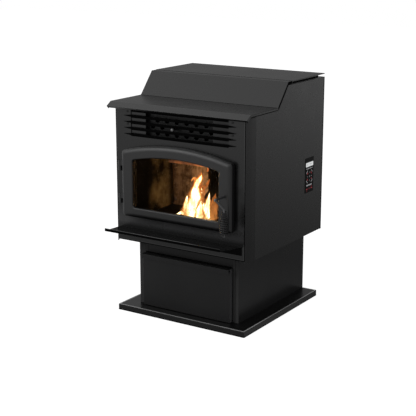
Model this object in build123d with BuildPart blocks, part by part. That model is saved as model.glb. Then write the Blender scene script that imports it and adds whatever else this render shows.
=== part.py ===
"""A free-standing pellet stove on a pedestal, as an assembly of separate pieces.

Millimetres. +Z is up, the door faces -Y and the control panel is on the +X side.
The origin is on the floor, in the middle of the stove's overall width and depth.
"""

import os
from math import cos, radians, sin, sqrt

from build123d import *

os.makedirs("parts", exist_ok=True)

# ------------------------------------------------------------------ fits
gap = 0.3  # between a moving piece and its neighbours
seat = 0.2  # between panels that are slipped into each other
pipe_fit = 0.1  # round a pipe in its hole
shaft_fit = 0.05  # radial play of a shaft in its bearing
seam = 0.5  # dark line beside the front panel

# ------------------------------------------------------------------ sheet stock
skin = 2.0  # side and rear panels, pedestal
front_sheet = 3.0  # front panel
cover_sheet = 2.5  # mantel cover and ash lip
lid_sheet = 3.0
plate = 4.0  # firebox front plate
shell_sheet = 3.0  # firebox shell
duct_sheet = 2.0  # blower housings and ducts
liner_sheet = 6.0

# ------------------------------------------------------------------ base and pedestal
base_width = 549.0
base_depth = 545.0
base_height = 22.0
base_overhang = 4.0  # base ahead of the front panel
base_sheet = 3.0
base_lip = 25.0
pedestal_width = 433.0
pedestal_depth = 480.0
pedestal_height = 254.0
pedestal_setback = 56.0  # pedestal's front behind the front panel

# ------------------------------------------------------------------ body
body_width = 582.0
body_depth = 531.0
body_height = 580.0  # up to the side panels' edge under the lid
bevel_width = 18.0
bevel_depth = 35.0
bevel_drop = 7.0  # the corner strips reach lower than the sides
side_setup = 1.0
front_height = 494.0

# ------------------------------------------------------------------ mantel cover and lid
cover_width = 586.0
shelf_height = 510.5  # mantel above the body's underside
shelf_end = 180.0
slope_end = 251.0
cover_rise = 82.5
cover_end = 275.0
lip_start = 3.0  # bend of the front lip, ahead of the front panel
lip_forward = 27.0
lip_return = 7.0  # folded back under the lip's edge
lip_drop = 15.5
hem_depth = 8.0
hem_gap = 2.5
lid_rise = 14.0  # lid's top above the side panels
lid_length = 249.5
lid_flange_length = 198.5
lid_seam = 2.0
lid_pin_radius = 2.0
lid_knuckle_radius = 3.5
lid_knuckle_length = 20.0
lid_hinge_spread = 400.0
lid_pin_height = 7.0  # hinge pin below the lid's top

# ------------------------------------------------------------------ door
door_stile = 50.0  # door's edge to its window's side
door_height = 241.0
door_crown = 32.0
door_rise = 99.0
door_front = 29.0
door_gap = 3.0  # door's back face ahead of the panel
door_bevel_width = 14.0
door_bevel_depth = 9.0
door_corner = 12.0
window_width = 364.0
window_height = 174.5
window_crown = 21.0
window_sill = 36.5  # door's bottom rail
window_corner = 10.0
window_chamfer = 3.0
glass_thickness = 5.0
glass_lap = 6.5
glass_depth = 13.0
rope_width = 8.0
rope_depth = 7.0
rope_offset = 9.0  # door rope outside the window's edge
clip_size = 14.0
clip_overlap = 1.0
clip_low_rise = 40.0  # above the glass's lower edge
clip_high_drop = 60.0  # below the window's shoulder
hinge_offset = 14.0
hinge_pin_depth = 15.0
knuckle_radius = 6.5
door_pin_radius = 3.0
hinge_web = 4.0  # half the web's thickness
hinge_root = 2.0  # web's end inside the door's edge
bracket_half = 5.0
bracket_wing = 14.0
lower_hinge_height = 36.0
upper_hinge_height = 39.0
lower_hinge_rise = 44.0
upper_hinge_rise = 164.0

# ------------------------------------------------------------------ door handle
handle_margin = 24.0  # shaft beside the window
handle_rise = 128.0  # above the door's bottom edge
handle_reach = 84.0
shaft_radius = 4.0
arm_radius = 3.5
grip_x_offset = 23.0
grip_back = 18.0
grip_drop = 35.0
grip_length = 94.0
wire_radius = 2.5
coil_turns = 11
coil_pitch = 7.7
coil_top_radius = 7.0
coil_wide_radius = 14.0
coil_end_radius = 10.0
coil_widest = 0.65  # share of the coil's height at its widest turn
cam_length = 16.0
cam_half_height = 5.0
cam_thickness = 4.0
cam_gap = 3.0
arm_ball = 1.5  # shaft's round end proud of the shaft
keeper_length = 11.0  # past the cam's slot
keeper_height = 9.0
keeper_start = 7.0  # keeper's near end beside the handle's shaft
cam_slot_left = 6.0  # the slot's edges from the shaft
cam_slot_down = 19.0
cam_slot_right = 22.0
cam_slot_up = 20.0

# ------------------------------------------------------------------ louvre and heat exchanger
louvre_width = 410.0
louvre_height = 94.0
louvre_rise = 392.0
blade_count = 4
blade_pitch = 22.0
blade_height = 7.0
blade_depth = 4.0
blade_rise = 6.0
blade_tip = 31.0
exchanger_width = 284.0
exchanger_height = 88.0
exchanger_rise = 396.0
exchanger_setback = 20.0
tube_radius = 12.5
tube_wall = 2.5
tube_pitch = 41.0
tube_row_pitch = 23.0
tube_first_rise = 409.0
scraper_drop = 1.0  # scraper rod below the middle row's centres
scraper_radius = 4.0
knob_radius = 7.0
knob_forward = 6.5
scraper_plate_thickness = 3.0
scraper_plate_margin = (2.0, 8.0)  # lower and higher edge, from the exchanger's opening
scraper_clearance = 12.0  # from the shell's back wall
scraper_hole_play = 0.8
screw_radius = 2.0
screw_pitches = (1.64, 3.64)  # between the blades, in blade pitches
screw_head_radius = 4.0
screw_x = 220.0
rear_screw_inset = 12.0
rear_screw_margin = 60.0  # from the rear panel's top and foot
rear_screw_count = 4

# ------------------------------------------------------------------ firebox
firebox_margin = 8.0  # liner's face beside the window
firebox_depth = 238.0  # front panel's face to the rear liner
firebox_floor = 92.0  # inside floor above the body's underside
firebox_height = 397.0  # inside height of the shell
liner_height = 229.0
liner_gap = 10.0  # flue space behind the rear liner
front_plate_margin = 39.0  # past the handle's shaft
front_plate_rise = 24.0
front_plate_height = 468.0
mouth_sill = 122.0
mouth_height = 192.0
mouth_crown = 28.0
panel_mouth_margin = 6.0  # beside the window
panel_mouth_sill = 129.0
panel_mouth_height = 181.0
panel_mouth_crown = 27.0
baffle_front = 60.0
baffle_sheet = 3.0
baffle_lip_width = 168.0
baffle_lip_drop = 23.0
pot_width = 158.0
pot_length = 118.0
pot_centre = 100.0
pot_depth = 54.0
pot_rim = 4.0
pot_wall = 4.0
pot_hole_play = (4.0, 4.0)  # round the pot's cup in the shell's floor
pot_mouth_margin = (26.0, 22.0)
pot_foot_margin = (80.0, 70.0)
pot_mouth_corner = 10.0
pot_foot_corner = 8.0
grate_pitch = 14.0
grate_hole_radius = 3.0
chute_width = 206.0
chute_length = 165.0
chute_offset = 10.0  # chute's centre behind the pot's
igniter_radius = 5.0
igniter_length = 78.0
igniter_x = 30.0
igniter_rise = 59.0
igniter_reach = 32.0  # tip inside the ash chute
igniter_nut_length = 6.0
igniter_nut_radius = 8.0

# ------------------------------------------------------------------ fuel feed
auger_tilt = 30.0
auger_tube_radius = 30.0
auger_tube_wall = 3.0
auger_length = 208.0
auger_mouth_rise = 229.0
auger_mouth_setback = 281.0
auger_pitch = 45.0
auger_turns = 4
flight_radius = 25.5
flight_thickness = 3.0
auger_shaft_radius = 6.0
auger_motor_size = 62.0
auger_motor_length = 44.0
auger_flange_margin = 4.0
auger_flange_sheet = 4.0
auger_shaft_reach = 20.0  # shaft's end inside the motor
auger_bearing_depth = 24.0
flight_start = 4.0
flight_root = 1.0  # flight's foot inside the shaft
feed_duct_width = 68.0
feed_duct_depth = 40.0
feed_duct_height = 108.0
feed_duct_rise = 164.0
tongue_sheet = 3.0
tongue_start = 30.0  # pellet slide's top above the duct's floor
tongue_lip = 9.0  # slide's height over the shell's back wall
tongue_reach = 46.0  # into the firebox, ahead of the rear liner
tongue_drop = 26.0
hopper_sheet = 2.0
hopper_width = 500.0
hopper_length = 195.0
hopper_front = 305.0
hopper_outlet_width = 56.0
hopper_outlet_length = 50.0
hopper_outlet_centre = 415.0
hopper_outlet_rise = 194.0
hopper_spout_length = 60.0  # cut to the auger tube at its foot
hopper_rim = 3.0  # rim's top below the side panels' edge, with its sheet
rim_front = 268.0
seal_width = 10.0
seal_margin = 3.0
seal_corner = 4.0
grille_drop = 60.0
grille_bar = 4.0
grille_count = 7
grille_side_play = 3.0
cross_bar_inset = 40.0
cross_bar_play = 5.0

# ------------------------------------------------------------------ blowers and pipes
scroll_radius = 84.0
scroll_width = 84.0
exhaust_x = 120.0
exhaust_centre = 391.0
scroll_rise = 20.0
flue_width = 40.0
flue_height = 82.0
exhaust_setback = 31.0  # housing's rear wall, from the rear panel's face
impeller_radius = 62.0
impeller_width = 46.0
impeller_hub = 20.0
vane_centre = 0.58  # share of the impeller's radius
vane_length = 0.8  # share of the impeller's radius
blade_sheet = 2.0
motor_radius = 38.0
motor_length = 66.0
motor_round = 6.0
shaft_end_play = 3.0
motor_shaft_radius = 4.0
outlet_radius = 38.1
outlet_wall = 2.0
outlet_length = 57.0
outlet_flange = 52.0
pipe_flange_sheet = 2.5
intake_radius = 25.0
intake_reach = 25.0
intake_rise = 32.0
intake_flange = 34.0
room_scroll_radius = 80.0
room_scroll_width = 100.0
room_blower_x = 110.0
blower_setback = 4.0  # from the firebox shell
riser_depth = 42.0
plenum_width = 324.0
plenum_height = 90.0
plenum_rise = 389.0
wheel_radius = 62.0
wheel_width = 76.0
wheel_blades = 20
wheel_ring = 12.0
wheel_blade_length = 10.0
wheel_hub = 16.0
wheel_inlet_radius = 46.5
impeller_blades = 8
vent_slots = 7
vent_slot_width = 90.0
vent_slot_height = 8.0
vent_slot_pitch = 16.0
inlet_x = 210.0
inlet_rise = 40.0
inlet_width = 28.0
inlet_height = 20.0
inlet_flange = (6.0, 3.0)  # sideways and upwards
inlet_depth = 26.0
inlet_wall = 2.0
inlet_well = 16.0
prong_spread = 7.0
prong_half = (1.0, 2.0)
prong_setback = 3.0

# ------------------------------------------------------------------ ash lip and drawer
ash_lip_width = 520.0
ash_lip_front_width = 488.0
ash_lip_reach = 115.0
ash_lip_rise = 50.0
ash_lip_flange = 30.0
ash_lip_tilt = 11.0
ash_lip_hem = 8.0
drawer_width = 378.0
drawer_height = 200.0
drawer_proud = 16.0
drawer_foot = 2.0
drawer_sheet = 2.5
pull_reach = 12.0
pull_height = 16.0
pull_side_gap = 1.0
pan_width = 344.0
pan_length = 330.0
pan_height = 150.0
pan_sheet = 1.5
pan_foot = 12.3
bay_width = 360.0
bay_sill = 8.0
bay_height = 170.0
runner_width = 56.0
runner_sheet = 3.0

# ------------------------------------------------------------------ control panel
overlay_front = 394.0
overlay_width = 63.0
overlay_rise = 164.0
overlay_height = 130.0
overlay_sheet = 1.2
overlay_lap = 3.0
display_width = 56.0
display_height = 16.0
display_rise = 97.0
key_x_front = 31.0  # round group's centre behind the overlay's front edge
key_group_rise = 60.0
key_ring_radius = 15.5
key_radius = 5.0
ok_key_radius = 6.5
power_key_rise = 14.0
key_proud = 0.4
key_length = 5.6
board_sheet = 2.0
board_margin = 6.0
post_margin = 2.0
post_radius = 3.0
key_round = 0.32
post_length = 4.0

# ================================================================== places worked out
overall_depth = ash_lip_reach + body_depth + pipe_flange_sheet + outlet_length
front_y = ash_lip_reach - overall_depth / 2
body_z = base_height + pedestal_height
side_x = body_width / 2
inner_x = side_x - skin
cover_x = cover_width / 2
rear_y = front_y + body_depth
rear_inner_y = rear_y - skin
side_top_z = body_z + body_height
lid_top_z = side_top_z + lid_rise
bevel_x = side_x - bevel_width
door_width = window_width + 2 * door_stile
handle_x = window_width / 2 + handle_margin
front_plate_width = 2 * (handle_x + front_plate_margin)
panel_mouth_width = window_width + 2 * panel_mouth_margin
firebox_width = window_width + 2 * firebox_margin  # between the liners


def behind(distance):
    """Y at a distance behind the front panel's face."""
    return front_y + distance


def above(rise):
    """Z at a height above the body's underside."""
    return body_z + rise


def block(low, high, mode=Mode.ADD):
    """A box between two opposite corners."""
    centre = [(a + b) / 2 for a, b in zip(low, high)]
    size = [b - a for a, b in zip(low, high)]
    with Locations(Location(centre)):
        Box(*size, mode=mode)


def rod(start, direction, radius, length, mode=Mode.ADD):
    """A round bar from a point along a direction."""
    with BuildSketch(Plane(origin=start, z_dir=direction)) as section:
        Circle(radius)
    extrude(section.sketch, amount=length, mode=mode)


def facing(y):
    """A drawing plane that looks at the stove's front, at depth y."""
    return Plane.XZ.offset(-y)


def shifted(points, depth):
    """A bent line moved to its left by a depth, with mitred corners."""
    line = [complex(*p) for p in points]
    runs = [(b - a) / abs(b - a) for a, b in zip(line, line[1:])]
    normals = [run * 1j for run in runs]
    before = normals[:1] + normals
    after = normals + normals[-1:]
    moved = []
    for point, n, m in zip(line, before, after):
        share = 1 + n.real * m.real + n.imag * m.imag
        moved.append(point + (n + m) * depth / share)
    return [(p.real, p.imag) for p in moved]


def bent_sheet(points, thickness):
    """The outline of a folded sheet whose one face follows the points."""
    outline = points + shifted(points, thickness)[::-1]
    with BuildLine() as edge_line:
        Polyline(*outline, close=True)
    make_face(edge_line.edges())


def arched_face(width, bottom, height, crown, corner):
    """The crowned outline as a private sketch on the drawing plane."""
    with BuildSketch(mode=Mode.PRIVATE) as outline:
        half = width / 2
        shoulder = bottom + height
        with BuildLine():
            Polyline((half, shoulder), (half, bottom), (-half, bottom), (-half, shoulder))
            ThreePointArc((-half, shoulder), (0, shoulder + crown), (half, shoulder))
        make_face()
        fillet(outline.vertices(), corner)
    return outline.sketch


def inset(arch, depth):
    """The crowned outline's (width, bottom, height, crown) moved inwards by a depth."""
    width, bottom, height, crown = arch
    radius = (width * width / 4 + crown * crown) / (2 * crown)
    centre = bottom + height + crown - radius
    half = width / 2 - depth
    shoulder = centre + sqrt((radius - depth) ** 2 - half * half)
    return 2 * half, bottom + depth, shoulder - bottom - depth, centre + radius - depth - shoulder


def finish(name, label):
    """Label a finished piece and write it to its own file."""
    name.part.label = label
    export_step(name.part, f"parts/{label}.step")


# ================================================================== base and pedestal
base_x = base_width / 2
base_front_y = behind(-base_overhang)
base_rear_y = base_front_y + base_depth
with BuildPart() as base_plate:
    block((-base_x, base_front_y, 0), (base_x, base_rear_y, base_height))
    block(
        (-base_x + base_sheet, base_front_y + base_sheet, base_sheet),
        (base_x - base_sheet, base_rear_y - base_sheet, base_height - base_sheet),
        mode=Mode.SUBTRACT,
    )
    block(
        (-base_x + base_lip, base_front_y + base_lip, 0),
        (base_x - base_lip, base_rear_y - base_lip, base_sheet),
        mode=Mode.SUBTRACT,
    )
finish(base_plate, "base_plate")

pedestal_x = pedestal_width / 2
pedestal_y = behind(pedestal_setback)
pedestal_rear_y = pedestal_y + pedestal_depth
bay_z = base_height + bay_sill
with BuildPart() as pedestal_shell:
    block((-pedestal_x, pedestal_y, base_height), (pedestal_x, pedestal_rear_y, body_z))
    block(
        (-pedestal_x + skin, pedestal_y + skin, base_height),
        (pedestal_x - skin, pedestal_rear_y - skin, body_z),
        mode=Mode.SUBTRACT,
    )
    block(
        (-bay_width / 2, pedestal_y, bay_z),
        (bay_width / 2, pedestal_y + skin, bay_z + bay_height),
        mode=Mode.SUBTRACT,
    )
finish(pedestal_shell, "pedestal_shell")

# ------------------------------------------------------------------ body floor
chute_x = chute_width / 2
chute_front_y = behind(pot_centre + chute_offset) - chute_length / 2
chute_rear_y = chute_front_y + chute_length
floor_top_z = above(skin + side_setup)
floor_x = inner_x - seat
with BuildPart() as cabinet_floor:
    with BuildSketch(Plane.XY.offset(body_z)):
        with BuildLine():
            floor_front = behind(front_sheet + seat)
            corner_x = bevel_x - 3 * skin
            corner_y = floor_front + bevel_depth + skin
            Polyline(
                (-floor_x, corner_y),
                (-corner_x, floor_front),
                (corner_x, floor_front),
                (floor_x, corner_y),
                (floor_x, rear_inner_y - seat),
                (-floor_x, rear_inner_y - seat),
                close=True,
            )
        make_face()
    extrude(amount=floor_top_z - body_z)
    block(
        (-chute_x + duct_sheet, chute_front_y + duct_sheet, body_z),
        (chute_x - duct_sheet, chute_rear_y - duct_sheet, floor_top_z),
        mode=Mode.SUBTRACT,
    )
finish(cabinet_floor, "cabinet_floor")

# ================================================================== mantel cover line
# The cover's top, drawn from the rear to the lip as (y, z).
cover_line = [
    (behind(cover_end), above(body_height - hopper_rim)),
    (behind(cover_end), above(shelf_height + cover_rise)),
    (behind(slope_end), above(shelf_height + cover_rise)),
    (behind(shelf_end), above(shelf_height)),
    (behind(-lip_start), above(shelf_height)),
    (behind(-lip_forward), above(shelf_height - lip_drop)),
    (behind(-lip_forward + lip_return), above(shelf_height - lip_drop - lip_return)),
]
top_line = cover_line[1:]
side_edge = shifted(top_line, hem_depth + hem_gap)

# ================================================================== side panels
key_y = behind(overlay_front + key_x_front)
overlay_y = behind(overlay_front)
overlay_z = above(overlay_rise)


def side_profile():
    """The side panel's outline as seen from the side, on the drawing plane."""
    slope_foot = side_edge[2]
    slope_head = side_edge[1]
    rise = (slope_head[1] - slope_foot[1]) / (slope_head[0] - slope_foot[0])
    head_y = slope_foot[0] + (side_top_z - slope_foot[1]) / rise
    with BuildLine() as profile:
        Polyline(
            (front_y, above(-bevel_drop)),
            (behind(bevel_depth), above(-bevel_drop)),
            (behind(bevel_depth), above(side_setup)),
            (rear_y, above(side_setup)),
            (rear_y, side_top_z),
            (head_y, side_top_z),
            slope_foot,
            (front_y, slope_foot[1]),
            close=True,
        )
    make_face(profile.edges())


def side_panel(hand):
    """One side panel with its bevelled front strip; hand is +1 on the right."""
    with BuildPart() as panel:
        with BuildSketch(Plane.XY.offset(above(-bevel_drop))):
            with BuildLine():
                Polyline(
                    (hand * bevel_x, front_y),
                    (hand * side_x, behind(bevel_depth)),
                    (hand * side_x, rear_y),
                    (hand * inner_x, rear_y),
                    (hand * inner_x, behind(bevel_depth)),
                    (hand * (bevel_x - skin), front_y),
                    close=True,
                )
            make_face()
        extrude(amount=body_height + bevel_drop)
        with BuildSketch(Plane.YZ) as outline:
            side_profile()
        extrude(outline.sketch, amount=side_x + skin, both=True, mode=Mode.INTERSECT)
        if hand > 0:
            block(
                (inner_x, overlay_y + overlay_lap, overlay_z + overlay_lap),
                (
                    side_x,
                    overlay_y + overlay_width - overlay_lap,
                    overlay_z + overlay_height - overlay_lap,
                ),
                mode=Mode.SUBTRACT,
            )
    return panel


finish(side_panel(-1), "side_panel_left")
finish(side_panel(1), "side_panel_right")

# ================================================================== rear panel
exhaust_z = floor_top_z + scroll_rise + outlet_radius + 2 * duct_sheet
spigot_radius = outlet_radius - outlet_wall
intake_z = above(intake_rise)
riser_y = behind(firebox_depth + liner_sheet + liner_gap + shell_sheet + blower_setback)
room_y = riser_y + room_scroll_radius
room_z = above(scroll_rise + room_scroll_radius)
inlet_z = above(inlet_rise)
rear_screw_x = floor_x - rear_screw_inset
rear_screw_pitch = (body_height - 2 * rear_screw_margin) / (rear_screw_count - 1)
rear_screw_rows = [above(rear_screw_margin + i * rear_screw_pitch) for i in range(rear_screw_count)]
with BuildPart() as rear_panel:
    block((-floor_x, rear_inner_y, body_z), (floor_x, rear_y, side_top_z))
    rod((-exhaust_x, rear_inner_y, exhaust_z), (0, 1, 0), spigot_radius + pipe_fit, skin, Mode.SUBTRACT)
    rod((0, rear_inner_y, intake_z), (0, 1, 0), intake_radius + pipe_fit, skin, Mode.SUBTRACT)
    block(
        (inlet_x - inlet_width / 2, rear_inner_y, inlet_z - inlet_height / 2),
        (inlet_x + inlet_width / 2, rear_y, inlet_z + inlet_height / 2),
        mode=Mode.SUBTRACT,
    )
    with BuildSketch(facing(rear_y)):
        with Locations((room_blower_x, room_z)):
            with GridLocations(vent_slot_width, vent_slot_pitch, 1, vent_slots):
                SlotOverall(vent_slot_width, vent_slot_height)
    extrude(amount=skin, mode=Mode.SUBTRACT)
    for x in (-rear_screw_x, rear_screw_x):
        for z in rear_screw_rows:
            rod((x, rear_inner_y, z), (0, 1, 0), screw_radius + pipe_fit, skin, Mode.SUBTRACT)
finish(rear_panel, "rear_panel")

# ================================================================== front panel and louvre
front_x = bevel_x - skin - seam
panel_back_y = behind(front_sheet)
door_z = above(door_rise)
handle_z = door_z + handle_rise
cam_slot = (
    handle_x - cam_slot_left,
    handle_z - cam_slot_down,
    handle_x + cam_slot_right,
    handle_z + cam_slot_up,
)
screw_rises = [louvre_rise + blade_rise + share * blade_pitch for share in screw_pitches]
with BuildPart() as front_panel:
    block((-front_x, front_y, body_z), (front_x, panel_back_y, above(front_height)))
    block(
        (-louvre_width / 2, front_y, above(louvre_rise)),
        (louvre_width / 2, panel_back_y, above(louvre_rise + louvre_height)),
        mode=Mode.SUBTRACT,
    )
    mouth = arched_face(
        panel_mouth_width, above(panel_mouth_sill), panel_mouth_height, panel_mouth_crown, window_corner
    )
    with BuildSketch(facing(panel_back_y)):
        add(mouth)
    extrude(amount=front_sheet, mode=Mode.SUBTRACT)
    block(
        (cam_slot[0], front_y, cam_slot[1]),
        (cam_slot[2], panel_back_y, cam_slot[3]),
        mode=Mode.SUBTRACT,
    )
    for x in (-screw_x, screw_x):
        for rise in screw_rises:
            rod((x, front_y, above(rise)), (0, 1, 0), screw_radius + pipe_fit, front_sheet, Mode.SUBTRACT)
finish(front_panel, "front_panel")

blade_half = louvre_width / 2 + blade_tip
with BuildPart() as louvre_blades:
    with BuildSketch(facing(front_y)):
        for index in range(blade_count):
            z = above(louvre_rise + blade_rise + index * blade_pitch)
            with BuildLine():
                Polyline(
                    (-blade_half, z),
                    (-louvre_width / 2, z - blade_height / 2),
                    (louvre_width / 2, z - blade_height / 2),
                    (blade_half, z),
                    (louvre_width / 2, z + blade_height / 2),
                    (-louvre_width / 2, z + blade_height / 2),
                    close=True,
                )
            make_face()
    extrude(amount=blade_depth)
finish(louvre_blades, "louvre_blades")

with BuildPart() as panel_screws:
    for x in (-screw_x, screw_x):
        for rise in screw_rises:
            rod((x, front_y, above(rise)), (0, -1, 0), screw_head_radius, screw_radius)
            rod((x, front_y, above(rise)), (0, 1, 0), screw_radius, front_sheet + plate)
    for x in (-rear_screw_x, rear_screw_x):
        for z in rear_screw_rows:
            rod((x, rear_y, z), (0, 1, 0), screw_head_radius, screw_radius)
            rod((x, rear_y, z), (0, -1, 0), screw_radius, 3 * skin)
finish(panel_screws, "panel_screws")

# ================================================================== firebox front plate
plate_back_y = panel_back_y + plate
shell_inner_x = firebox_width / 2 + liner_sheet
shell_x = shell_inner_x + shell_sheet
mouth_z = above(mouth_sill)
exchanger_z = above(exchanger_rise)
exchanger_top_z = exchanger_z + exchanger_height
exchanger_x = exchanger_width / 2
with BuildPart() as firebox_front:
    block(
        (-front_plate_width / 2, panel_back_y, above(front_plate_rise)),
        (front_plate_width / 2, plate_back_y, above(front_plate_rise + front_plate_height)),
    )
    mouth = arched_face(firebox_width, mouth_z, mouth_height, mouth_crown, window_corner)
    with BuildSketch(facing(plate_back_y)):
        add(mouth)
    extrude(amount=plate, mode=Mode.SUBTRACT)
    block(
        (-exchanger_x, panel_back_y, exchanger_z),
        (exchanger_x, plate_back_y, exchanger_top_z),
        mode=Mode.SUBTRACT,
    )
    block(
        (cam_slot[0], panel_back_y, cam_slot[1]),
        (cam_slot[2], plate_back_y, cam_slot[3]),
        mode=Mode.SUBTRACT,
    )
    for x in (-screw_x, screw_x):
        for rise in screw_rises:
            rod((x, panel_back_y, above(rise)), (0, 1, 0), screw_radius + pipe_fit, plate, Mode.SUBTRACT)
finish(firebox_front, "firebox_front")

# ================================================================== heat exchanger
scraper_x = -tube_pitch / 2
scraper_z = above(tube_first_rise + tube_row_pitch - scraper_drop)
outer_row = [(index - 2.5) * tube_pitch for index in range(6)]
middle_row = [-3 * tube_pitch, -2 * tube_pitch, tube_pitch, 2 * tube_pitch, 3 * tube_pitch]
tube_centres = [(x, above(tube_first_rise)) for x in outer_row]
tube_centres += [(x, above(tube_first_rise + tube_row_pitch)) for x in middle_row]
tube_centres += [(x, above(tube_first_rise + 2 * tube_row_pitch)) for x in outer_row]
exchanger_y = behind(exchanger_setback)
liner_back_y = behind(firebox_depth)
shell_back_inner_y = liner_back_y + liner_sheet + liner_gap
shell_back_y = shell_back_inner_y + shell_sheet


def tube_holes(y, depth, radius):
    """Cut the tube pattern through a plate that starts at y."""
    with BuildSketch(facing(y + depth)) as holes:
        with Locations(*tube_centres):
            Circle(radius)
    extrude(holes.sketch, amount=depth, mode=Mode.SUBTRACT)


shell_floor_z = above(firebox_floor)
shell_top_z = shell_floor_z + firebox_height
with BuildPart() as exchanger_face:
    block(
        (-exchanger_x - shell_sheet, plate_back_y, exchanger_z - shell_sheet),
        (exchanger_x + shell_sheet, exchanger_y + duct_sheet, exchanger_top_z + shell_sheet),
    )
    block(
        (-exchanger_x, plate_back_y, exchanger_z),
        (exchanger_x, exchanger_y, exchanger_top_z),
        mode=Mode.SUBTRACT,
    )
    tube_holes(exchanger_y, duct_sheet, tube_radius + pipe_fit)
    rod((scraper_x, exchanger_y, scraper_z), (0, 1, 0), scraper_radius + gap, duct_sheet, Mode.SUBTRACT)
finish(exchanger_face, "exchanger_face")

with BuildPart() as exchanger_tubes:
    with BuildSketch(facing(shell_back_y)):
        with Locations(*tube_centres):
            Circle(tube_radius)
            Circle(tube_radius - tube_wall, mode=Mode.SUBTRACT)
    extrude(amount=shell_back_y - exchanger_y)
finish(exchanger_tubes, "exchanger_tubes")

scraper_plate_y = shell_back_inner_y - scraper_clearance
with BuildPart() as scraper_plate:
    block(
        (-exchanger_x, scraper_plate_y, exchanger_z - scraper_plate_margin[0]),
        (
            exchanger_x,
            scraper_plate_y + scraper_plate_thickness,
            exchanger_top_z - scraper_plate_margin[1],
        ),
    )
    tube_holes(scraper_plate_y, scraper_plate_thickness, tube_radius + scraper_hole_play)
finish(scraper_plate, "scraper_plate")

with BuildPart() as scraper_rod:
    knob_y = behind(-knob_forward)
    with Locations((scraper_x, knob_y, scraper_z)):
        Sphere(knob_radius)
    rod((scraper_x, knob_y, scraper_z), (0, 1, 0), scraper_radius, scraper_plate_y - knob_y)
finish(scraper_rod, "scraper_rod")

# ================================================================== firebox shell and liners
feed_x = feed_duct_width / 2
feed_z = above(feed_duct_rise)
pot_x = pot_width / 2
pot_y = behind(pot_centre)
pot_mouth = (pot_width - pot_mouth_margin[0], pot_length - pot_mouth_margin[1])
pot_foot = (pot_width - pot_foot_margin[0], pot_length - pot_foot_margin[1])
pot_hole_x = pot_mouth[0] / 2 + pot_hole_play[0]
pot_hole_y = pot_mouth[1] / 2 + pot_hole_play[1]
flue_x = -exhaust_x + scroll_width / 2
flue_z = floor_top_z + scroll_rise + scroll_radius - flue_height / 2
with BuildPart() as firebox_shell:
    block(
        (-shell_x, plate_back_y, shell_floor_z - shell_sheet),
        (shell_x, shell_back_y, shell_top_z + shell_sheet),
    )
    block(
        (-shell_inner_x, plate_back_y, shell_floor_z),
        (shell_inner_x, shell_back_inner_y, shell_top_z),
        mode=Mode.SUBTRACT,
    )
    block(
        (-pot_hole_x, pot_y - pot_hole_y, shell_floor_z - shell_sheet),
        (pot_hole_x, pot_y + pot_hole_y, shell_floor_z),
        mode=Mode.SUBTRACT,
    )
    tube_holes(shell_back_inner_y, shell_sheet, tube_radius + pipe_fit)
    block(
        (-feed_x + duct_sheet - seat, shell_back_inner_y, feed_z + duct_sheet - seat),
        (feed_x - duct_sheet + seat, shell_back_y, feed_z + feed_duct_height - duct_sheet),
        mode=Mode.SUBTRACT,
    )
    block(
        (flue_x + duct_sheet, shell_back_inner_y, flue_z + duct_sheet),
        (flue_x + flue_width - duct_sheet, shell_back_y, flue_z + flue_height - duct_sheet),
        mode=Mode.SUBTRACT,
    )
finish(firebox_shell, "firebox_shell")

liner_x = firebox_width / 2
liner_top_z = shell_floor_z + liner_height
with BuildPart() as firebox_liners:
    for hand in (-1, 1):
        near, far = sorted((hand * liner_x, hand * shell_inner_x))
        block((near, plate_back_y + seat, shell_floor_z), (far, shell_back_inner_y, liner_top_z))
    block(
        (-liner_x + seat, liner_back_y, shell_floor_z),
        (liner_x - seat, liner_back_y + liner_sheet, liner_top_z),
    )
    block(
        (-feed_x, liner_back_y, feed_z - tongue_drop),
        (feed_x, liner_back_y + liner_sheet, feed_z + feed_duct_height),
        mode=Mode.SUBTRACT,
    )
finish(firebox_liners, "firebox_liners")

with BuildPart() as baffle_plate:
    block(
        (-shell_inner_x + seat, behind(baffle_front), liner_top_z),
        (shell_inner_x - seat, shell_back_inner_y - seat, liner_top_z + baffle_sheet),
    )
    block(
        (-baffle_lip_width / 2, behind(baffle_front), liner_top_z - baffle_lip_drop),
        (baffle_lip_width / 2, behind(baffle_front) + baffle_sheet, liner_top_z),
    )
finish(baffle_plate, "baffle_plate")

# ================================================================== burn pot, chute, igniter
pot_rim_z = shell_floor_z + pot_rim
pot_bottom_z = pot_rim_z - pot_depth
with BuildPart() as burn_pot:
    block((-pot_x, pot_y - pot_length / 2, shell_floor_z), (pot_x, pot_y + pot_length / 2, pot_rim_z))
    with BuildSketch(Plane((0, pot_y, pot_bottom_z))):
        RectangleRounded(*pot_foot, pot_foot_corner)
    with BuildSketch(Plane((0, pot_y, shell_floor_z))):
        RectangleRounded(*pot_mouth, pot_mouth_corner)
    loft()
    with BuildSketch(Plane((0, pot_y, pot_bottom_z + pot_wall))):
        RectangleRounded(*[side - 2 * pot_wall for side in pot_foot], pot_foot_corner - pot_wall)
    with BuildSketch(Plane((0, pot_y, pot_rim_z))):
        RectangleRounded(*[side - 2 * pot_wall for side in pot_mouth], pot_mouth_corner - pot_wall)
    loft(mode=Mode.SUBTRACT)
    with BuildSketch(Plane((0, pot_y, pot_bottom_z))):
        with GridLocations(grate_pitch, grate_pitch, 4, 2):
            Circle(grate_hole_radius)
    extrude(amount=pot_wall, mode=Mode.SUBTRACT)
finish(burn_pot, "burn_pot")

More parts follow.
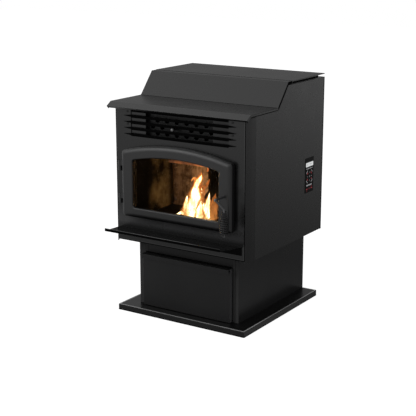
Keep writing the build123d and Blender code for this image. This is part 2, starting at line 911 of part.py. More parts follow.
igniter_z = above(igniter_rise)
with BuildPart() as ash_chute:
    block((-chute_x, chute_front_y, floor_top_z), (chute_x, chute_rear_y, shell_floor_z - shell_sheet))
    block(
        (-chute_x + duct_sheet, chute_front_y + duct_sheet, floor_top_z),
        (chute_x - duct_sheet, chute_rear_y - duct_sheet, shell_floor_z - shell_sheet),
        mode=Mode.SUBTRACT,
    )
    rod(
        (igniter_x, chute_rear_y - duct_sheet, igniter_z),
        (0, 1, 0),
        igniter_radius + pipe_fit,
        duct_sheet,
        Mode.SUBTRACT,
    )
    rod(
        (0, chute_rear_y - duct_sheet, intake_z),
        (0, 1, 0),
        intake_radius - outlet_wall,
        duct_sheet,
        Mode.SUBTRACT,
    )
finish(ash_chute, "ash_chute")

igniter_start = chute_rear_y - duct_sheet - igniter_reach
with BuildPart() as igniter:
    rod((igniter_x, igniter_start, igniter_z), (0, 1, 0), igniter_radius, igniter_length)
    with BuildSketch(facing(chute_rear_y + igniter_nut_length)):
        with Locations((igniter_x, igniter_z)):
            RegularPolygon(igniter_nut_radius, 6)
    extrude(amount=igniter_nut_length)
finish(igniter, "igniter")

# ================================================================== fuel feed
tilt = radians(auger_tilt)
auger_axis = Vector(0, cos(tilt), -sin(tilt))
auger_mouth = Vector(0, behind(auger_mouth_setback), above(auger_mouth_rise))
auger_foot = auger_mouth + auger_axis * auger_length
across_auger = Plane(origin=auger_mouth, x_dir=(1, 0, 0), z_dir=auger_axis)
outlet_y = behind(hopper_outlet_centre)
outlet_z = above(hopper_outlet_rise)
spout_x = hopper_outlet_width / 2
spout_y = hopper_outlet_length / 2

feed_back_y = shell_back_y + feed_duct_depth
with BuildPart() as feed_chute:
    block((-feed_x, shell_back_y, feed_z), (feed_x, feed_back_y, feed_z + feed_duct_height))
    block(
        (-feed_x + duct_sheet, shell_back_y, feed_z + duct_sheet),
        (feed_x - duct_sheet, feed_back_y - duct_sheet, feed_z + feed_duct_height - duct_sheet),
        mode=Mode.SUBTRACT,
    )
    tongue = [
        (feed_back_y - duct_sheet, feed_z + tongue_start),
        (shell_back_y, feed_z + tongue_lip),
        (behind(firebox_depth - tongue_reach), feed_z - tongue_drop),
    ]
    with BuildSketch(Plane.YZ) as slide:
        bent_sheet(tongue, tongue_sheet)
    extrude(slide.sketch, amount=feed_x - duct_sheet, both=True)
    rod(auger_mouth, auger_axis, auger_tube_radius + pipe_fit, auger_length, Mode.SUBTRACT)
finish(feed_chute, "feed_chute")

with BuildPart() as auger_tube:
    rod(auger_mouth, auger_axis, auger_tube_radius, auger_length)
    rod(auger_mouth, auger_axis, auger_tube_radius - auger_tube_wall, auger_length, Mode.SUBTRACT)
    block(
        (-spout_x + hopper_sheet, outlet_y - spout_y + hopper_sheet, auger_foot.Z),
        (spout_x - hopper_sheet, outlet_y + spout_y - hopper_sheet, outlet_z),
        mode=Mode.SUBTRACT,
    )
finish(auger_tube, "auger_tube")

motor_plane = Plane(origin=auger_foot, x_dir=(1, 0, 0), z_dir=auger_axis)
with BuildPart() as auger_motor:
    with BuildSketch(motor_plane):
        Circle(auger_tube_radius + auger_flange_margin)
    extrude(amount=auger_flange_sheet)
    with BuildSketch(motor_plane.offset(auger_flange_sheet)):
        Rectangle(auger_motor_size, auger_motor_size)
    extrude(amount=auger_motor_length)
    with BuildSketch(motor_plane):
        Circle(auger_shaft_radius + shaft_fit)
    extrude(amount=auger_bearing_depth, mode=Mode.SUBTRACT)
finish(auger_motor, "auger_motor")

flight_length = auger_turns * auger_pitch
with BuildPart() as auger_screw:
    flight_plane = across_auger.offset(flight_start)
    with BuildLine() as spiral:
        Helix(
            auger_pitch,
            flight_length,
            auger_shaft_radius,
            center=flight_plane.origin,
            direction=auger_axis,
        )
    flight_width = flight_radius - auger_shaft_radius + flight_root
    start = spiral.line @ 0
    outward = (start - flight_plane.origin).normalized()
    with BuildSketch(Plane(origin=start, x_dir=outward, z_dir=spiral.line % 0)):
        with Locations((flight_width / 2 - flight_root, 0)):
            Rectangle(flight_width, flight_thickness)
    sweep(is_frenet=True)
    rod(auger_mouth, auger_axis, auger_shaft_radius, auger_length + auger_shaft_reach)
finish(auger_screw, "auger_screw")

# ================================================================== hopper
hopper_x = hopper_width / 2
hopper_y = behind(hopper_front)
hopper_mid_y = hopper_y + hopper_length / 2
rim_z = side_top_z - hopper_rim
with BuildPart() as hopper_bin:
    block((-floor_x, behind(rim_front), rim_z - hopper_sheet), (floor_x, rear_inner_y - seat, rim_z))
    with BuildSketch(Plane((0, outlet_y, outlet_z))):
        Rectangle(hopper_outlet_width, hopper_outlet_length)
    with BuildSketch(Plane((0, hopper_mid_y, rim_z - hopper_sheet))):
        Rectangle(hopper_width + 2 * hopper_sheet, hopper_length + 2 * hopper_sheet)
    loft()
    block(
        (-spout_x, outlet_y - spout_y, outlet_z - hopper_spout_length),
        (spout_x, outlet_y + spout_y, outlet_z),
    )
    with BuildSketch(Plane((0, outlet_y, outlet_z))):
        Rectangle(hopper_outlet_width - 2 * hopper_sheet, hopper_outlet_length - 2 * hopper_sheet)
    with BuildSketch(Plane((0, hopper_mid_y, rim_z))):
        Rectangle(hopper_width, hopper_length)
    loft(mode=Mode.SUBTRACT)
    block(
        (-spout_x + hopper_sheet, outlet_y - spout_y + hopper_sheet, outlet_z - hopper_spout_length),
        (spout_x - hopper_sheet, outlet_y + spout_y - hopper_sheet, outlet_z),
        mode=Mode.SUBTRACT,
    )
    rod(auger_mouth, auger_axis, auger_tube_radius + pipe_fit, auger_length, Mode.SUBTRACT)
    with BuildSketch(across_auger):
        with Locations((0, auger_tube_radius * 2)):
            Rectangle(4 * auger_tube_radius, 4 * auger_tube_radius)
    extrude(amount=auger_length * 2, mode=Mode.SUBTRACT)
finish(hopper_bin, "hopper_bin")

# ------------------------------------------------------------------ safety grille
grille_z = rim_z - grille_drop
taper = (rim_z - hopper_sheet - grille_z) / (rim_z - hopper_sheet - outlet_z)
grille_play = grille_bar / 4 + gap / 2
hopper_rear = hopper_y + hopper_length
grille_front = hopper_y + (outlet_y - spout_y - hopper_y) * taper + grille_play
grille_rear = hopper_rear + (outlet_y + spout_y - hopper_rear) * taper - grille_play
grille_x = hopper_x + (spout_x - hopper_x) * taper - grille_side_play
cross_bar_x = grille_x - cross_bar_play
with BuildPart() as hopper_grille:
    bar_pitch = 2 * grille_x / (grille_count + 1)
    with BuildSketch(facing(grille_rear)):
        with Locations((0, grille_z)):
            with GridLocations(bar_pitch, 1, grille_count, 1):
                Rectangle(grille_bar, grille_bar)
    extrude(amount=grille_rear - grille_front)
    for y in (grille_front + cross_bar_inset, grille_rear - cross_bar_inset):
        block(
            (-cross_bar_x, y, grille_z - 1.5 * grille_bar),
            (cross_bar_x, y + grille_bar, grille_z - grille_bar / 2 - seat),
        )
finish(hopper_grille, "hopper_grille")

lid_under_z = lid_top_z - lid_sheet
seal_x = hopper_x + seal_margin
seal_front = hopper_y - seal_margin
seal_rear = hopper_y + hopper_length + seal_margin
with BuildPart() as hopper_seal:
    block(
        (-seal_x - seal_width, seal_front - seal_width, rim_z),
        (seal_x + seal_width, seal_rear + seal_width, lid_under_z - gap),
    )
    block((-seal_x, seal_front, rim_z), (seal_x, seal_rear, lid_under_z - gap), mode=Mode.SUBTRACT)
    fillet(hopper_seal.edges().filter_by(Axis.Z), seal_corner)
finish(hopper_seal, "hopper_seal")

# ================================================================== mantel cover
with BuildPart() as mantel_cover:
    with BuildSketch(Plane.YZ) as sheet:
        bent_sheet(cover_line, cover_sheet)
    extrude(sheet.sketch, amount=cover_x, both=True)
    hem_line = shifted(top_line, cover_sheet)
    for hand in (-1, 1):
        with BuildSketch(Plane.YZ.offset(hand * (cover_x - cover_sheet))) as hem:
            bent_sheet(hem_line, hem_depth - cover_sheet)
        extrude(hem.sketch, amount=hand * cover_sheet)
        near, far = sorted((hand * floor_x, hand * cover_x))
        block(
            (near, behind(cover_end) - cover_sheet, rim_z),
            (far, behind(cover_end), side_top_z + hem_gap),
            mode=Mode.SUBTRACT,
        )
finish(mantel_cover, "mantel_cover")

# ================================================================== hopper lid and hinge
lid_front_y = behind(cover_end + lid_seam)
lid_rear_y = lid_front_y + lid_length
lid_pin_z = lid_top_z - lid_pin_height
lid_pin_y = lid_rear_y - lid_pin_height
hinge_centres = (-lid_hinge_spread / 2, lid_hinge_spread / 2)
leaf_x = lid_knuckle_length / 2 + gap
with BuildPart() as hopper_lid:
    block((-cover_x, lid_front_y, lid_under_z), (cover_x, lid_rear_y, lid_top_z))
    for hand in (-1, 1):
        near, far = sorted((hand * (cover_x - lid_sheet), hand * cover_x))
        block(
            (near, lid_front_y, side_top_z + lid_seam),
            (far, lid_front_y + lid_flange_length, lid_top_z),
        )
    for centre in hinge_centres:
        for hand in (-1, 1):
            start = centre + hand * leaf_x
            rod((start, lid_pin_y, lid_pin_z), (hand, 0, 0), lid_knuckle_radius, lid_knuckle_length)
            near, far = sorted((start, start + hand * lid_knuckle_length))
            block(
                (near, lid_pin_y - lid_knuckle_radius, lid_pin_z),
                (far, lid_pin_y + lid_knuckle_radius, lid_under_z),
            )
        end = leaf_x + lid_knuckle_length
        rod(
            (centre - end, lid_pin_y, lid_pin_z),
            (1, 0, 0),
            lid_pin_radius + shaft_fit,
            2 * end,
            Mode.SUBTRACT,
        )
finish(hopper_lid, "hopper_lid")

with BuildPart() as lid_hinges:
    for centre in hinge_centres:
        half = lid_knuckle_length / 2
        end = leaf_x + lid_knuckle_length
        block(
            (centre - end, seal_rear + seal_width, rim_z),
            (centre + end, lid_pin_y + 2 * lid_knuckle_radius, rim_z + skin),
        )
        block(
            (centre - half, lid_pin_y - lid_knuckle_radius, rim_z + skin),
            (centre + half, lid_pin_y + lid_knuckle_radius, lid_pin_z),
        )
        rod((centre - half, lid_pin_y, lid_pin_z), (1, 0, 0), lid_knuckle_radius, lid_knuckle_length)
        rod((centre - end, lid_pin_y, lid_pin_z), (1, 0, 0), lid_pin_radius, 2 * end)
finish(lid_hinges, "lid_hinges")

# ================================================================== exhaust blower
scroll_centre_y = behind(exhaust_centre)
scroll_centre_z = floor_top_z + scroll_rise + scroll_radius
scroll_low_x = -exhaust_x - scroll_width / 2
exhaust_end_y = rear_y - exhaust_setback
exhaust_top_z = 2 * exhaust_z - (floor_top_z + scroll_rise)
flue_rear_y = scroll_centre_y + flue_height / 2
with BuildPart() as exhaust_housing:
    rod((scroll_low_x, scroll_centre_y, scroll_centre_z), (1, 0, 0), scroll_radius, scroll_width)
    block(
        (scroll_low_x, scroll_centre_y, floor_top_z + scroll_rise),
        (flue_x, exhaust_end_y, exhaust_top_z),
    )
    block((flue_x, shell_back_y, flue_z), (flue_x + flue_width, flue_rear_y, flue_z + flue_height))
    rod(
        (scroll_low_x + duct_sheet, scroll_centre_y, scroll_centre_z),
        (1, 0, 0),
        scroll_radius - duct_sheet,
        scroll_width - 2 * duct_sheet,
        Mode.SUBTRACT,
    )
    block(
        (scroll_low_x + duct_sheet, scroll_centre_y, floor_top_z + scroll_rise + duct_sheet),
        (flue_x - duct_sheet, exhaust_end_y - duct_sheet, exhaust_top_z - duct_sheet),
        mode=Mode.SUBTRACT,
    )
    block(
        (flue_x + duct_sheet, shell_back_y, flue_z + duct_sheet),
        (flue_x + flue_width - duct_sheet, flue_rear_y - duct_sheet, flue_z + flue_height - duct_sheet),
        mode=Mode.SUBTRACT,
    )
    rod(
        (flue_x - duct_sheet, scroll_centre_y, scroll_centre_z),
        (1, 0, 0),
        flue_height / 2 - 2 * duct_sheet,
        2 * duct_sheet,
        Mode.SUBTRACT,
    )
    rod(
        (scroll_low_x, scroll_centre_y, scroll_centre_z),
        (1, 0, 0),
        motor_shaft_radius + gap,
        duct_sheet,
        Mode.SUBTRACT,
    )
    rod(
        (-exhaust_x, exhaust_end_y - duct_sheet, exhaust_z),
        (0, 1, 0),
        outlet_radius - 2 * outlet_wall,
        duct_sheet,
        Mode.SUBTRACT,
    )
finish(exhaust_housing, "exhaust_housing")


def motor(face, direction):
    """A round blower motor that stands on a housing's side, with a blind bearing."""
    with BuildPart() as body:
        rod(face, direction, motor_radius, motor_length)
        rims = body.edges().filter_by(GeomType.CIRCLE).sort_by(Axis.X)
        fillet(rims[-1] if direction[0] > 0 else rims[0], motor_round)
        rod(face, direction, motor_shaft_radius + shaft_fit, motor_length / 2, Mode.SUBTRACT)
    return body


finish(motor((scroll_low_x, scroll_centre_y, scroll_centre_z), (-1, 0, 0)), "exhaust_motor")

with BuildPart() as exhaust_impeller:
    wheel_low_x = -exhaust_x - impeller_width / 2
    rod((wheel_low_x, scroll_centre_y, scroll_centre_z), (1, 0, 0), impeller_radius, blade_sheet)
    rod((wheel_low_x, scroll_centre_y, scroll_centre_z), (1, 0, 0), 3 * motor_shaft_radius, impeller_hub)
    wheel_plane = Plane(origin=(wheel_low_x, scroll_centre_y, scroll_centre_z), z_dir=(1, 0, 0))
    with BuildSketch(wheel_plane):
        with PolarLocations(impeller_radius * vane_centre, impeller_blades):
            Rectangle(impeller_radius * vane_length, blade_sheet)
    extrude(amount=impeller_width)
    shaft_length = wheel_low_x - scroll_low_x + motor_length / 2 - shaft_end_play
    rod(
        (wheel_low_x, scroll_centre_y, scroll_centre_z),
        (-1, 0, 0),
        motor_shaft_radius,
        shaft_length,
    )
finish(exhaust_impeller, "exhaust_impeller")

# ------------------------------------------------------------------ exhaust outlet pipe
with BuildPart() as exhaust_outlet:
    flange_y = rear_y + pipe_flange_sheet
    rod((-exhaust_x, exhaust_end_y, exhaust_z), (0, 1, 0), spigot_radius, rear_y - exhaust_end_y)
    rod((-exhaust_x, rear_y, exhaust_z), (0, 1, 0), outlet_flange, pipe_flange_sheet)
    rod((-exhaust_x, flange_y, exhaust_z), (0, 1, 0), outlet_radius, outlet_length)
    rod(
        (-exhaust_x, exhaust_end_y, exhaust_z),
        (0, 1, 0),
        spigot_radius - outlet_wall,
        flange_y + outlet_length - exhaust_end_y,
        Mode.SUBTRACT,
    )
finish(exhaust_outlet, "exhaust_outlet")

with BuildPart() as air_intake:
    rod((0, chute_rear_y, intake_z), (0, 1, 0), intake_radius, rear_y + intake_reach - chute_rear_y)
    rod((0, rear_y, intake_z), (0, 1, 0), intake_flange, pipe_flange_sheet)
    rod(
        (0, chute_rear_y, intake_z),
        (0, 1, 0),
        intake_radius - outlet_wall,
        rear_y + intake_reach - chute_rear_y,
        Mode.SUBTRACT,
    )
finish(air_intake, "air_intake")

# ================================================================== convection blower
room_low_x = room_blower_x - room_scroll_width / 2
room_high_x = room_blower_x + room_scroll_width / 2
plenum_x = plenum_width / 2
plenum_z = above(plenum_rise)
with BuildPart() as convection_housing:
    rod((room_low_x, room_y, room_z), (1, 0, 0), room_scroll_radius, room_scroll_width)
    block((room_low_x, riser_y, room_z), (room_high_x, riser_y + riser_depth, plenum_z))
    block((-plenum_x, shell_back_y, plenum_z), (plenum_x, riser_y + riser_depth, plenum_z + plenum_height))
    rod(
        (room_low_x + duct_sheet, room_y, room_z),
        (1, 0, 0),
        room_scroll_radius - duct_sheet,
        room_scroll_width - 2 * duct_sheet,
        Mode.SUBTRACT,
    )
    block(
        (room_low_x + duct_sheet, riser_y + duct_sheet, room_z),
        (room_high_x - duct_sheet, riser_y + riser_depth - duct_sheet, plenum_z + duct_sheet),
        mode=Mode.SUBTRACT,
    )
    block(
        (-plenum_x + duct_sheet, shell_back_y, plenum_z + duct_sheet),
        (plenum_x - duct_sheet, riser_y + riser_depth - duct_sheet, plenum_z + plenum_height - duct_sheet),
        mode=Mode.SUBTRACT,
    )
    rod((room_low_x, room_y, room_z), (1, 0, 0), wheel_inlet_radius, duct_sheet, Mode.SUBTRACT)
    rod(
        (room_high_x - duct_sheet, room_y, room_z),
        (1, 0, 0),
        motor_shaft_radius + gap,
        duct_sheet,
        Mode.SUBTRACT,
    )
finish(convection_housing, "convection_housing")
finish(motor((room_high_x, room_y, room_z), (1, 0, 0)), "convection_motor")

with BuildPart() as convection_wheel:
    wheel_start_x = room_blower_x - wheel_width / 2
    wheel_end_x = room_blower_x + wheel_width / 2
    rod((wheel_end_x - blade_sheet, room_y, room_z), (1, 0, 0), wheel_radius, blade_sheet)
    rod((wheel_start_x, room_y, room_z), (1, 0, 0), wheel_radius, blade_sheet)
    rod((wheel_start_x, room_y, room_z), (1, 0, 0), wheel_radius - wheel_ring, blade_sheet, Mode.SUBTRACT)
    drum_plane = Plane(origin=(wheel_start_x, room_y, room_z), z_dir=(1, 0, 0))
    with BuildSketch(drum_plane):
        with PolarLocations(wheel_radius - wheel_ring / 2, wheel_blades):
            Rectangle(wheel_blade_length, blade_sheet)
    extrude(amount=wheel_width)
    rod((wheel_end_x - wheel_hub, room_y, room_z), (1, 0, 0), 3 * motor_shaft_radius, wheel_hub)
    rod(
        (wheel_end_x - wheel_hub, room_y, room_z),
        (1, 0, 0),
        motor_shaft_radius,
        wheel_hub + room_high_x - wheel_end_x + motor_length / 2 - shaft_end_play,
    )
finish(convection_wheel, "convection_wheel")

# ================================================================== door
door_back_y = behind(-door_gap)
door_face_y = behind(-door_front)
window_z = door_z + window_sill
hinge_x = -door_width / 2 - hinge_offset
pin_y = behind(-hinge_pin_depth)
glass_y = door_face_y + glass_depth
glass_width = window_width + 2 * glass_lap
hinge_rows = [
    (door_z + lower_hinge_rise, lower_hinge_height),
    (door_z + upper_hinge_rise, upper_hinge_height),
]
door_outline = (door_width, door_z, door_height, door_crown)
window = (window_width, window_z, window_height, window_crown)
with BuildPart() as door_frame:
    with BuildSketch(facing(door_back_y)):
        add(arched_face(*door_outline, door_corner))
    extrude(amount=door_back_y - door_face_y - door_bevel_depth)
    with BuildSketch(facing(door_face_y + door_bevel_depth)):
        add(arched_face(*door_outline, door_corner))
    with BuildSketch(facing(door_face_y)):
        add(arched_face(*inset(door_outline, door_bevel_width), door_corner / 2))
    loft()
    with BuildSketch(facing(door_back_y)):
        add(arched_face(*window, window_corner))
    extrude(amount=door_back_y - door_face_y, mode=Mode.SUBTRACT)
    window_edges = door_frame.faces().sort_by(Axis.Y)[0].inner_wires()[0].edges()
    chamfer(window_edges, window_chamfer)
    with BuildSketch(facing(door_back_y)):
        add(arched_face(*inset(window, -glass_lap - gap), window_corner + glass_lap))
    extrude(amount=door_back_y - glass_y, mode=Mode.SUBTRACT)
    rope_corner = window_corner + rope_offset
    with BuildSketch(facing(door_back_y)):
        add(arched_face(*inset(window, -rope_offset - rope_width), rope_corner + rope_width))
        add(arched_face(*inset(window, -rope_offset), rope_corner), mode=Mode.SUBTRACT)
    extrude(amount=rope_depth - door_gap + gap, mode=Mode.SUBTRACT)
    rod((handle_x, door_back_y, handle_z), (0, -1, 0), shaft_radius + shaft_fit, door_front, Mode.SUBTRACT)
    for foot, height in hinge_rows:
        knuckle_z = foot + height / 2 + gap
        knuckle_height = height / 2 - gap
        block(
            (hinge_x, pin_y - hinge_web, knuckle_z),
            (-door_width / 2 + hinge_root, pin_y + hinge_web, knuckle_z + knuckle_height),
        )
        rod((hinge_x, pin_y, knuckle_z), (0, 0, 1), knuckle_radius, knuckle_height)
        rod(
            (hinge_x, pin_y, knuckle_z),
            (0, 0, 1),
            door_pin_radius + shaft_fit,
            knuckle_height,
            Mode.SUBTRACT,
        )
finish(door_frame, "door_frame")

with BuildPart() as door_glass:
    with BuildSketch(facing(glass_y + glass_thickness)):
        add(arched_face(*inset(window, -glass_lap), window_corner + glass_lap))
    extrude(amount=glass_thickness)
finish(door_glass, "door_glass")

with BuildPart() as door_rope:
    with BuildSketch(facing(behind(-gap))):
        add(arched_face(*inset(window, seat - rope_offset - rope_width), rope_corner + rope_width))
        add(arched_face(*inset(window, -rope_offset - seat), rope_corner), mode=Mode.SUBTRACT)
    extrude(amount=rope_depth)
finish(door_rope, "door_rope")

clip_y = glass_y + glass_thickness
with BuildPart() as glass_clips:
    clip_low_z = window_z - glass_lap + clip_low_rise
    clip_high_z = window_z + window_height - clip_high_drop
    for hand in (-1, 1):
        for z in (clip_low_z, clip_high_z):
            near, far = sorted((hand * (window_width / 2 + clip_overlap), hand * (glass_width / 2 + gap)))
            block((near, clip_y, z), (far, door_back_y, z + clip_size))
finish(glass_clips, "glass_clips")

# ------------------------------------------------------------------ hinge brackets and pins
with BuildPart() as door_hinges:
    for foot, height in hinge_rows:
        half = height / 2
        block((hinge_x - bracket_half, pin_y, foot), (hinge_x + bracket_half, front_y, foot + half))
        wing_x = hinge_x - bracket_wing
        block((wing_x, front_y - skin, foot), (hinge_x + bracket_half, front_y, foot + half))
        rod((hinge_x, pin_y, foot), (0, 0, 1), knuckle_radius, half)
        rod((hinge_x, pin_y, foot), (0, 0, 1), door_pin_radius, height)
finish(door_hinges, "door_hinges")

# ================================================================== door handle
arm_start = Vector(handle_x, behind(-handle_reach), handle_z)
grip_top = Vector(handle_x + grip_x_offset, behind(-handle_reach + grip_back), handle_z - grip_drop)
cam_y = plate_back_y + cam_gap
arm_path = grip_top - arm_start
with BuildPart() as handle_rod:
    rod(arm_start, (0, 1, 0), shaft_radius, cam_y + cam_thickness - arm_start.Y)
    with Locations(arm_start):
        Sphere(shaft_radius + arm_ball)
    rod(arm_start, arm_path.normalized(), arm_radius, arm_path.length)
    with Locations(grip_top):
        Sphere(shaft_radius)
    rod(grip_top, (0, 0, -1), shaft_radius, grip_length)
    block(
        (handle_x - cam_half_height, cam_y, handle_z - cam_half_height),
        (handle_x + cam_length, cam_y + cam_thickness, handle_z + cam_half_height),
    )
finish(handle_rod, "handle_rod")

# ------------------------------------------------------------------ wound grip
coil_start_z = grip_top.Z - 2 * wire_radius


def coil_radius(share):
    """Radius of the wire's centre line at a share of the coil's height."""
    if share < coil_widest:
        part = share / coil_widest
        return coil_top_radius + (coil_wide_radius - coil_top_radius) * part * part * (3 - 2 * part)
    part = (share - coil_widest) / (1 - coil_widest)
    return coil_wide_radius + (coil_end_radius - coil_wide_radius) * part * part


def coil_point(turn):
    """A point of the wire's centre line after so many turns."""
    radius = coil_radius(turn / coil_turns)
    angle = radians(360.0 * turn)
    drop = coil_pitch * turn
    return Vector(
        grip_top.X + radius * cos(angle),
        grip_top.Y + radius * sin(angle),
        coil_start_z - drop,
    )


def coil_tangent(turn):
    """The wire's direction after so many turns."""
    step = 0.001
    return (coil_point(turn + step) - coil_point(turn - step)).normalized()


def biarc(start, start_way, end, end_way):
    """Two arcs that leave start and reach end along the given directions."""
    chord = end - start
    ways = start_way + end_way
    bend = 2 * (1 - start_way.dot(end_way))
    pull = chord.dot(ways)
    reach = (sqrt(pull * pull + bend * chord.dot(chord)) - pull) / bend
    middle = (start + start_way * reach + end - end_way * reach) * 0.5
    first = TangentArc(start, middle, tangent=start_way)
    TangentArc(middle, end, tangent=first % 1)


quarter = 0.25
coil_end = coil_turns - quarter
with BuildPart() as coil_grip:
    first_way = coil_tangent(quarter)
    last_way = coil_tangent(coil_end)
    with BuildLine() as wire:
        Line(coil_point(quarter) - first_way * 2 * wire_radius, coil_point(quarter))
        for index in range(1, int(coil_end / quarter)):
            turn = index * quarter
            after = turn + quarter
            biarc(coil_point(turn), coil_tangent(turn), coil_point(after), coil_tangent(after))
        Line(coil_point(coil_end), coil_point(coil_end) + last_way * 2 * wire_radius)
    with BuildSketch(Plane(origin=wire.line @ 0, z_dir=wire.line % 0)):
        Circle(wire_radius)
    sweep()
finish(coil_grip, "coil_grip")

samples_per_turn = 100
sample_count = int((coil_end - quarter) * samples_per_turn)
coil_samples = [coil_point(quarter + index / samples_per_turn) for index in range(sample_count)]
coil_gaps = [
    (a - b).length - 2 * wire_radius
    for index, a in enumerate(coil_samples)
    for b in coil_samples[index + samples_per_turn // 2 :: 5]
]
print("coil grip: least gap to itself", round(min(coil_gaps), 2), "mm")

with BuildPart() as latch_keeper:
    keeper_x = handle_x + keeper_start
    keeper_top_z = handle_z - cam_half_height - gap
    block(
        (keeper_x, plate_back_y, keeper_top_z - keeper_height),
        (cam_slot[2] + keeper_length, cam_y + cam_thickness, keeper_top_z),
    )
finish(latch_keeper, "latch_keeper")

# ================================================================== ash lip
with BuildPart() as ash_lip:
    lip_foot_z = above(ash_lip_rise - ash_lip_flange)
    lip_root_z = above(ash_lip_rise)
    lip_tip_y = behind(cover_sheet - ash_lip_reach)
    lip_tip_z = lip_root_z + ash_lip_tilt
    lip_line = [
        (front_y, lip_foot_z),
        (front_y, lip_root_z),
        (lip_tip_y, lip_tip_z),
        (lip_tip_y, lip_tip_z + ash_lip_hem),
    ]
    with BuildSketch(Plane.YZ) as lip:
        bent_sheet(lip_line, cover_sheet)
    extrude(lip.sketch, amount=ash_lip_width / 2, both=True)
    with BuildSketch(Plane.XY.offset(lip_foot_z)) as plan:
        with BuildLine():
            Polyline(
                (-ash_lip_width / 2, front_y),
                (-ash_lip_width / 2, front_y - cover_sheet),
                (-ash_lip_front_width / 2, behind(-ash_lip_reach)),
                (ash_lip_front_width / 2, behind(-ash_lip_reach)),
                (ash_lip_width / 2, front_y - cover_sheet),
                (ash_lip_width / 2, front_y),
                close=True,
            )
        make_face()
    extrude(plan.sketch, amount=2 * ash_lip_reach, mode=Mode.INTERSECT)
finish(ash_lip, "ash_lip")

# ================================================================== ash drawer
drawer_x = drawer_width / 2
drawer_y = pedestal_y - drawer_proud
drawer_z = base_height + drawer_foot
drawer_top_z = drawer_z + drawer_height
with BuildPart() as drawer_front:
    block((-drawer_x, drawer_y, drawer_z), (drawer_x, pedestal_y - gap, drawer_top_z))
    block(
        (-drawer_x + drawer_sheet, drawer_y + drawer_sheet, drawer_z + drawer_sheet),
        (drawer_x - drawer_sheet, pedestal_y - gap, drawer_top_z - drawer_sheet),
        mode=Mode.SUBTRACT,
    )
    pull_line = [
        (drawer_y, drawer_top_z),
        (drawer_y - pull_reach, drawer_top_z),
        (drawer_y - pull_reach, drawer_top_z - pull_height),
    ]
    with BuildSketch(Plane.YZ) as pull:
        bent_sheet(pull_line, drawer_sheet)
    extrude(pull.sketch, amount=drawer_x - pull_side_gap, both=True)
finish(drawer_front, "drawer_front")

pan_x = pan_width / 2
pan_y = drawer_y + drawer_sheet
pan_z = base_height + pan_foot
with BuildPart() as ash_pan:
    block((-pan_x, pan_y, pan_z), (pan_x, pan_y + pan_length, pan_z + pan_height))
    block(
        (-pan_x + pan_sheet, pan_y + pan_sheet, pan_z + pan_sheet),
        (pan_x - pan_sheet, pan_y + pan_length - pan_sheet, pan_z + pan_height),
        mode=Mode.SUBTRACT,
    )
finish(ash_pan, "ash_pan")

with BuildPart() as drawer_runners:
    for hand in (-1, 1):
        near, far = sorted((hand * (pedestal_x - skin), hand * (pedestal_x - skin - runner_width)))
        block(
            (near, pedestal_y + skin, pan_z - gap - runner_sheet),
            (far, pedestal_rear_y - skin, pan_z - gap),
        )
finish(drawer_runners, "drawer_runners")

# ================================================================== control panel
overlay_x = side_x + overlay_sheet
board_x = inner_x - post_length
display_y = overlay_y + (overlay_width - display_width) / 2
display_z = overlay_z + display_rise
group_z = overlay_z + key_group_rise
power_z = overlay_z + power_key_rise
key_places = {
    "key_ok": (key_y, group_z, ok_key_radius),
    "key_up": (key_y, group_z + key_ring_radius, key_radius),
    "key_down": (key_y, group_z - key_ring_radius, key_radius),
    "key_left": (key_y - key_ring_radius, group_z, key_radius),
    "key_right": (key_y + key_ring_radius, group_z, key_radius),
    "key_power": (key_y, power_z, key_radius),
}
with BuildPart() as control_overlay:
    block(
        (side_x, overlay_y, overlay_z),
        (overlay_x, overlay_y + overlay_width, overlay_z + overlay_height),
    )
    block(
        (side_x, display_y, display_z),
        (overlay_x, display_y + display_width, display_z + display_height),
        mode=Mode.SUBTRACT,
    )
    for y, z, radius in key_places.values():
        rod((side_x, y, z), (1, 0, 0), radius + gap, overlay_sheet, Mode.SUBTRACT)
finish(control_overlay, "control_overlay")

with BuildPart() as control_display:
    block(
        (board_x, display_y + seat, display_z + seat),
        (overlay_x, display_y + display_width - seat, display_z + display_height - seat),
    )
finish(control_display, "control_display")

with BuildPart() as control_board:
    block(
        (board_x - board_sheet, overlay_y - board_margin, overlay_z - board_margin),
        (
            board_x,
            overlay_y + overlay_width + board_margin,
            overlay_z + overlay_height + board_margin,
        ),
    )
    for y in (overlay_y - post_margin, overlay_y + overlay_width + post_margin):
        for z in (overlay_z - post_margin, overlay_z + overlay_height + post_margin):
            rod((board_x, y, z), (1, 0, 0), post_radius, post_length)
finish(control_board, "control_board")


def key(y, z, radius):
    """A round key cap with its stem."""
    with BuildPart() as cap:
        rod((overlay_x + key_proud, y, z), (-1, 0, 0), radius, key_length)
        fillet(cap.edges().filter_by(GeomType.CIRCLE).sort_by(Axis.X)[-1], key_round)
    return cap


for key_name, place in key_places.items():
    finish(key(*place), key_name)

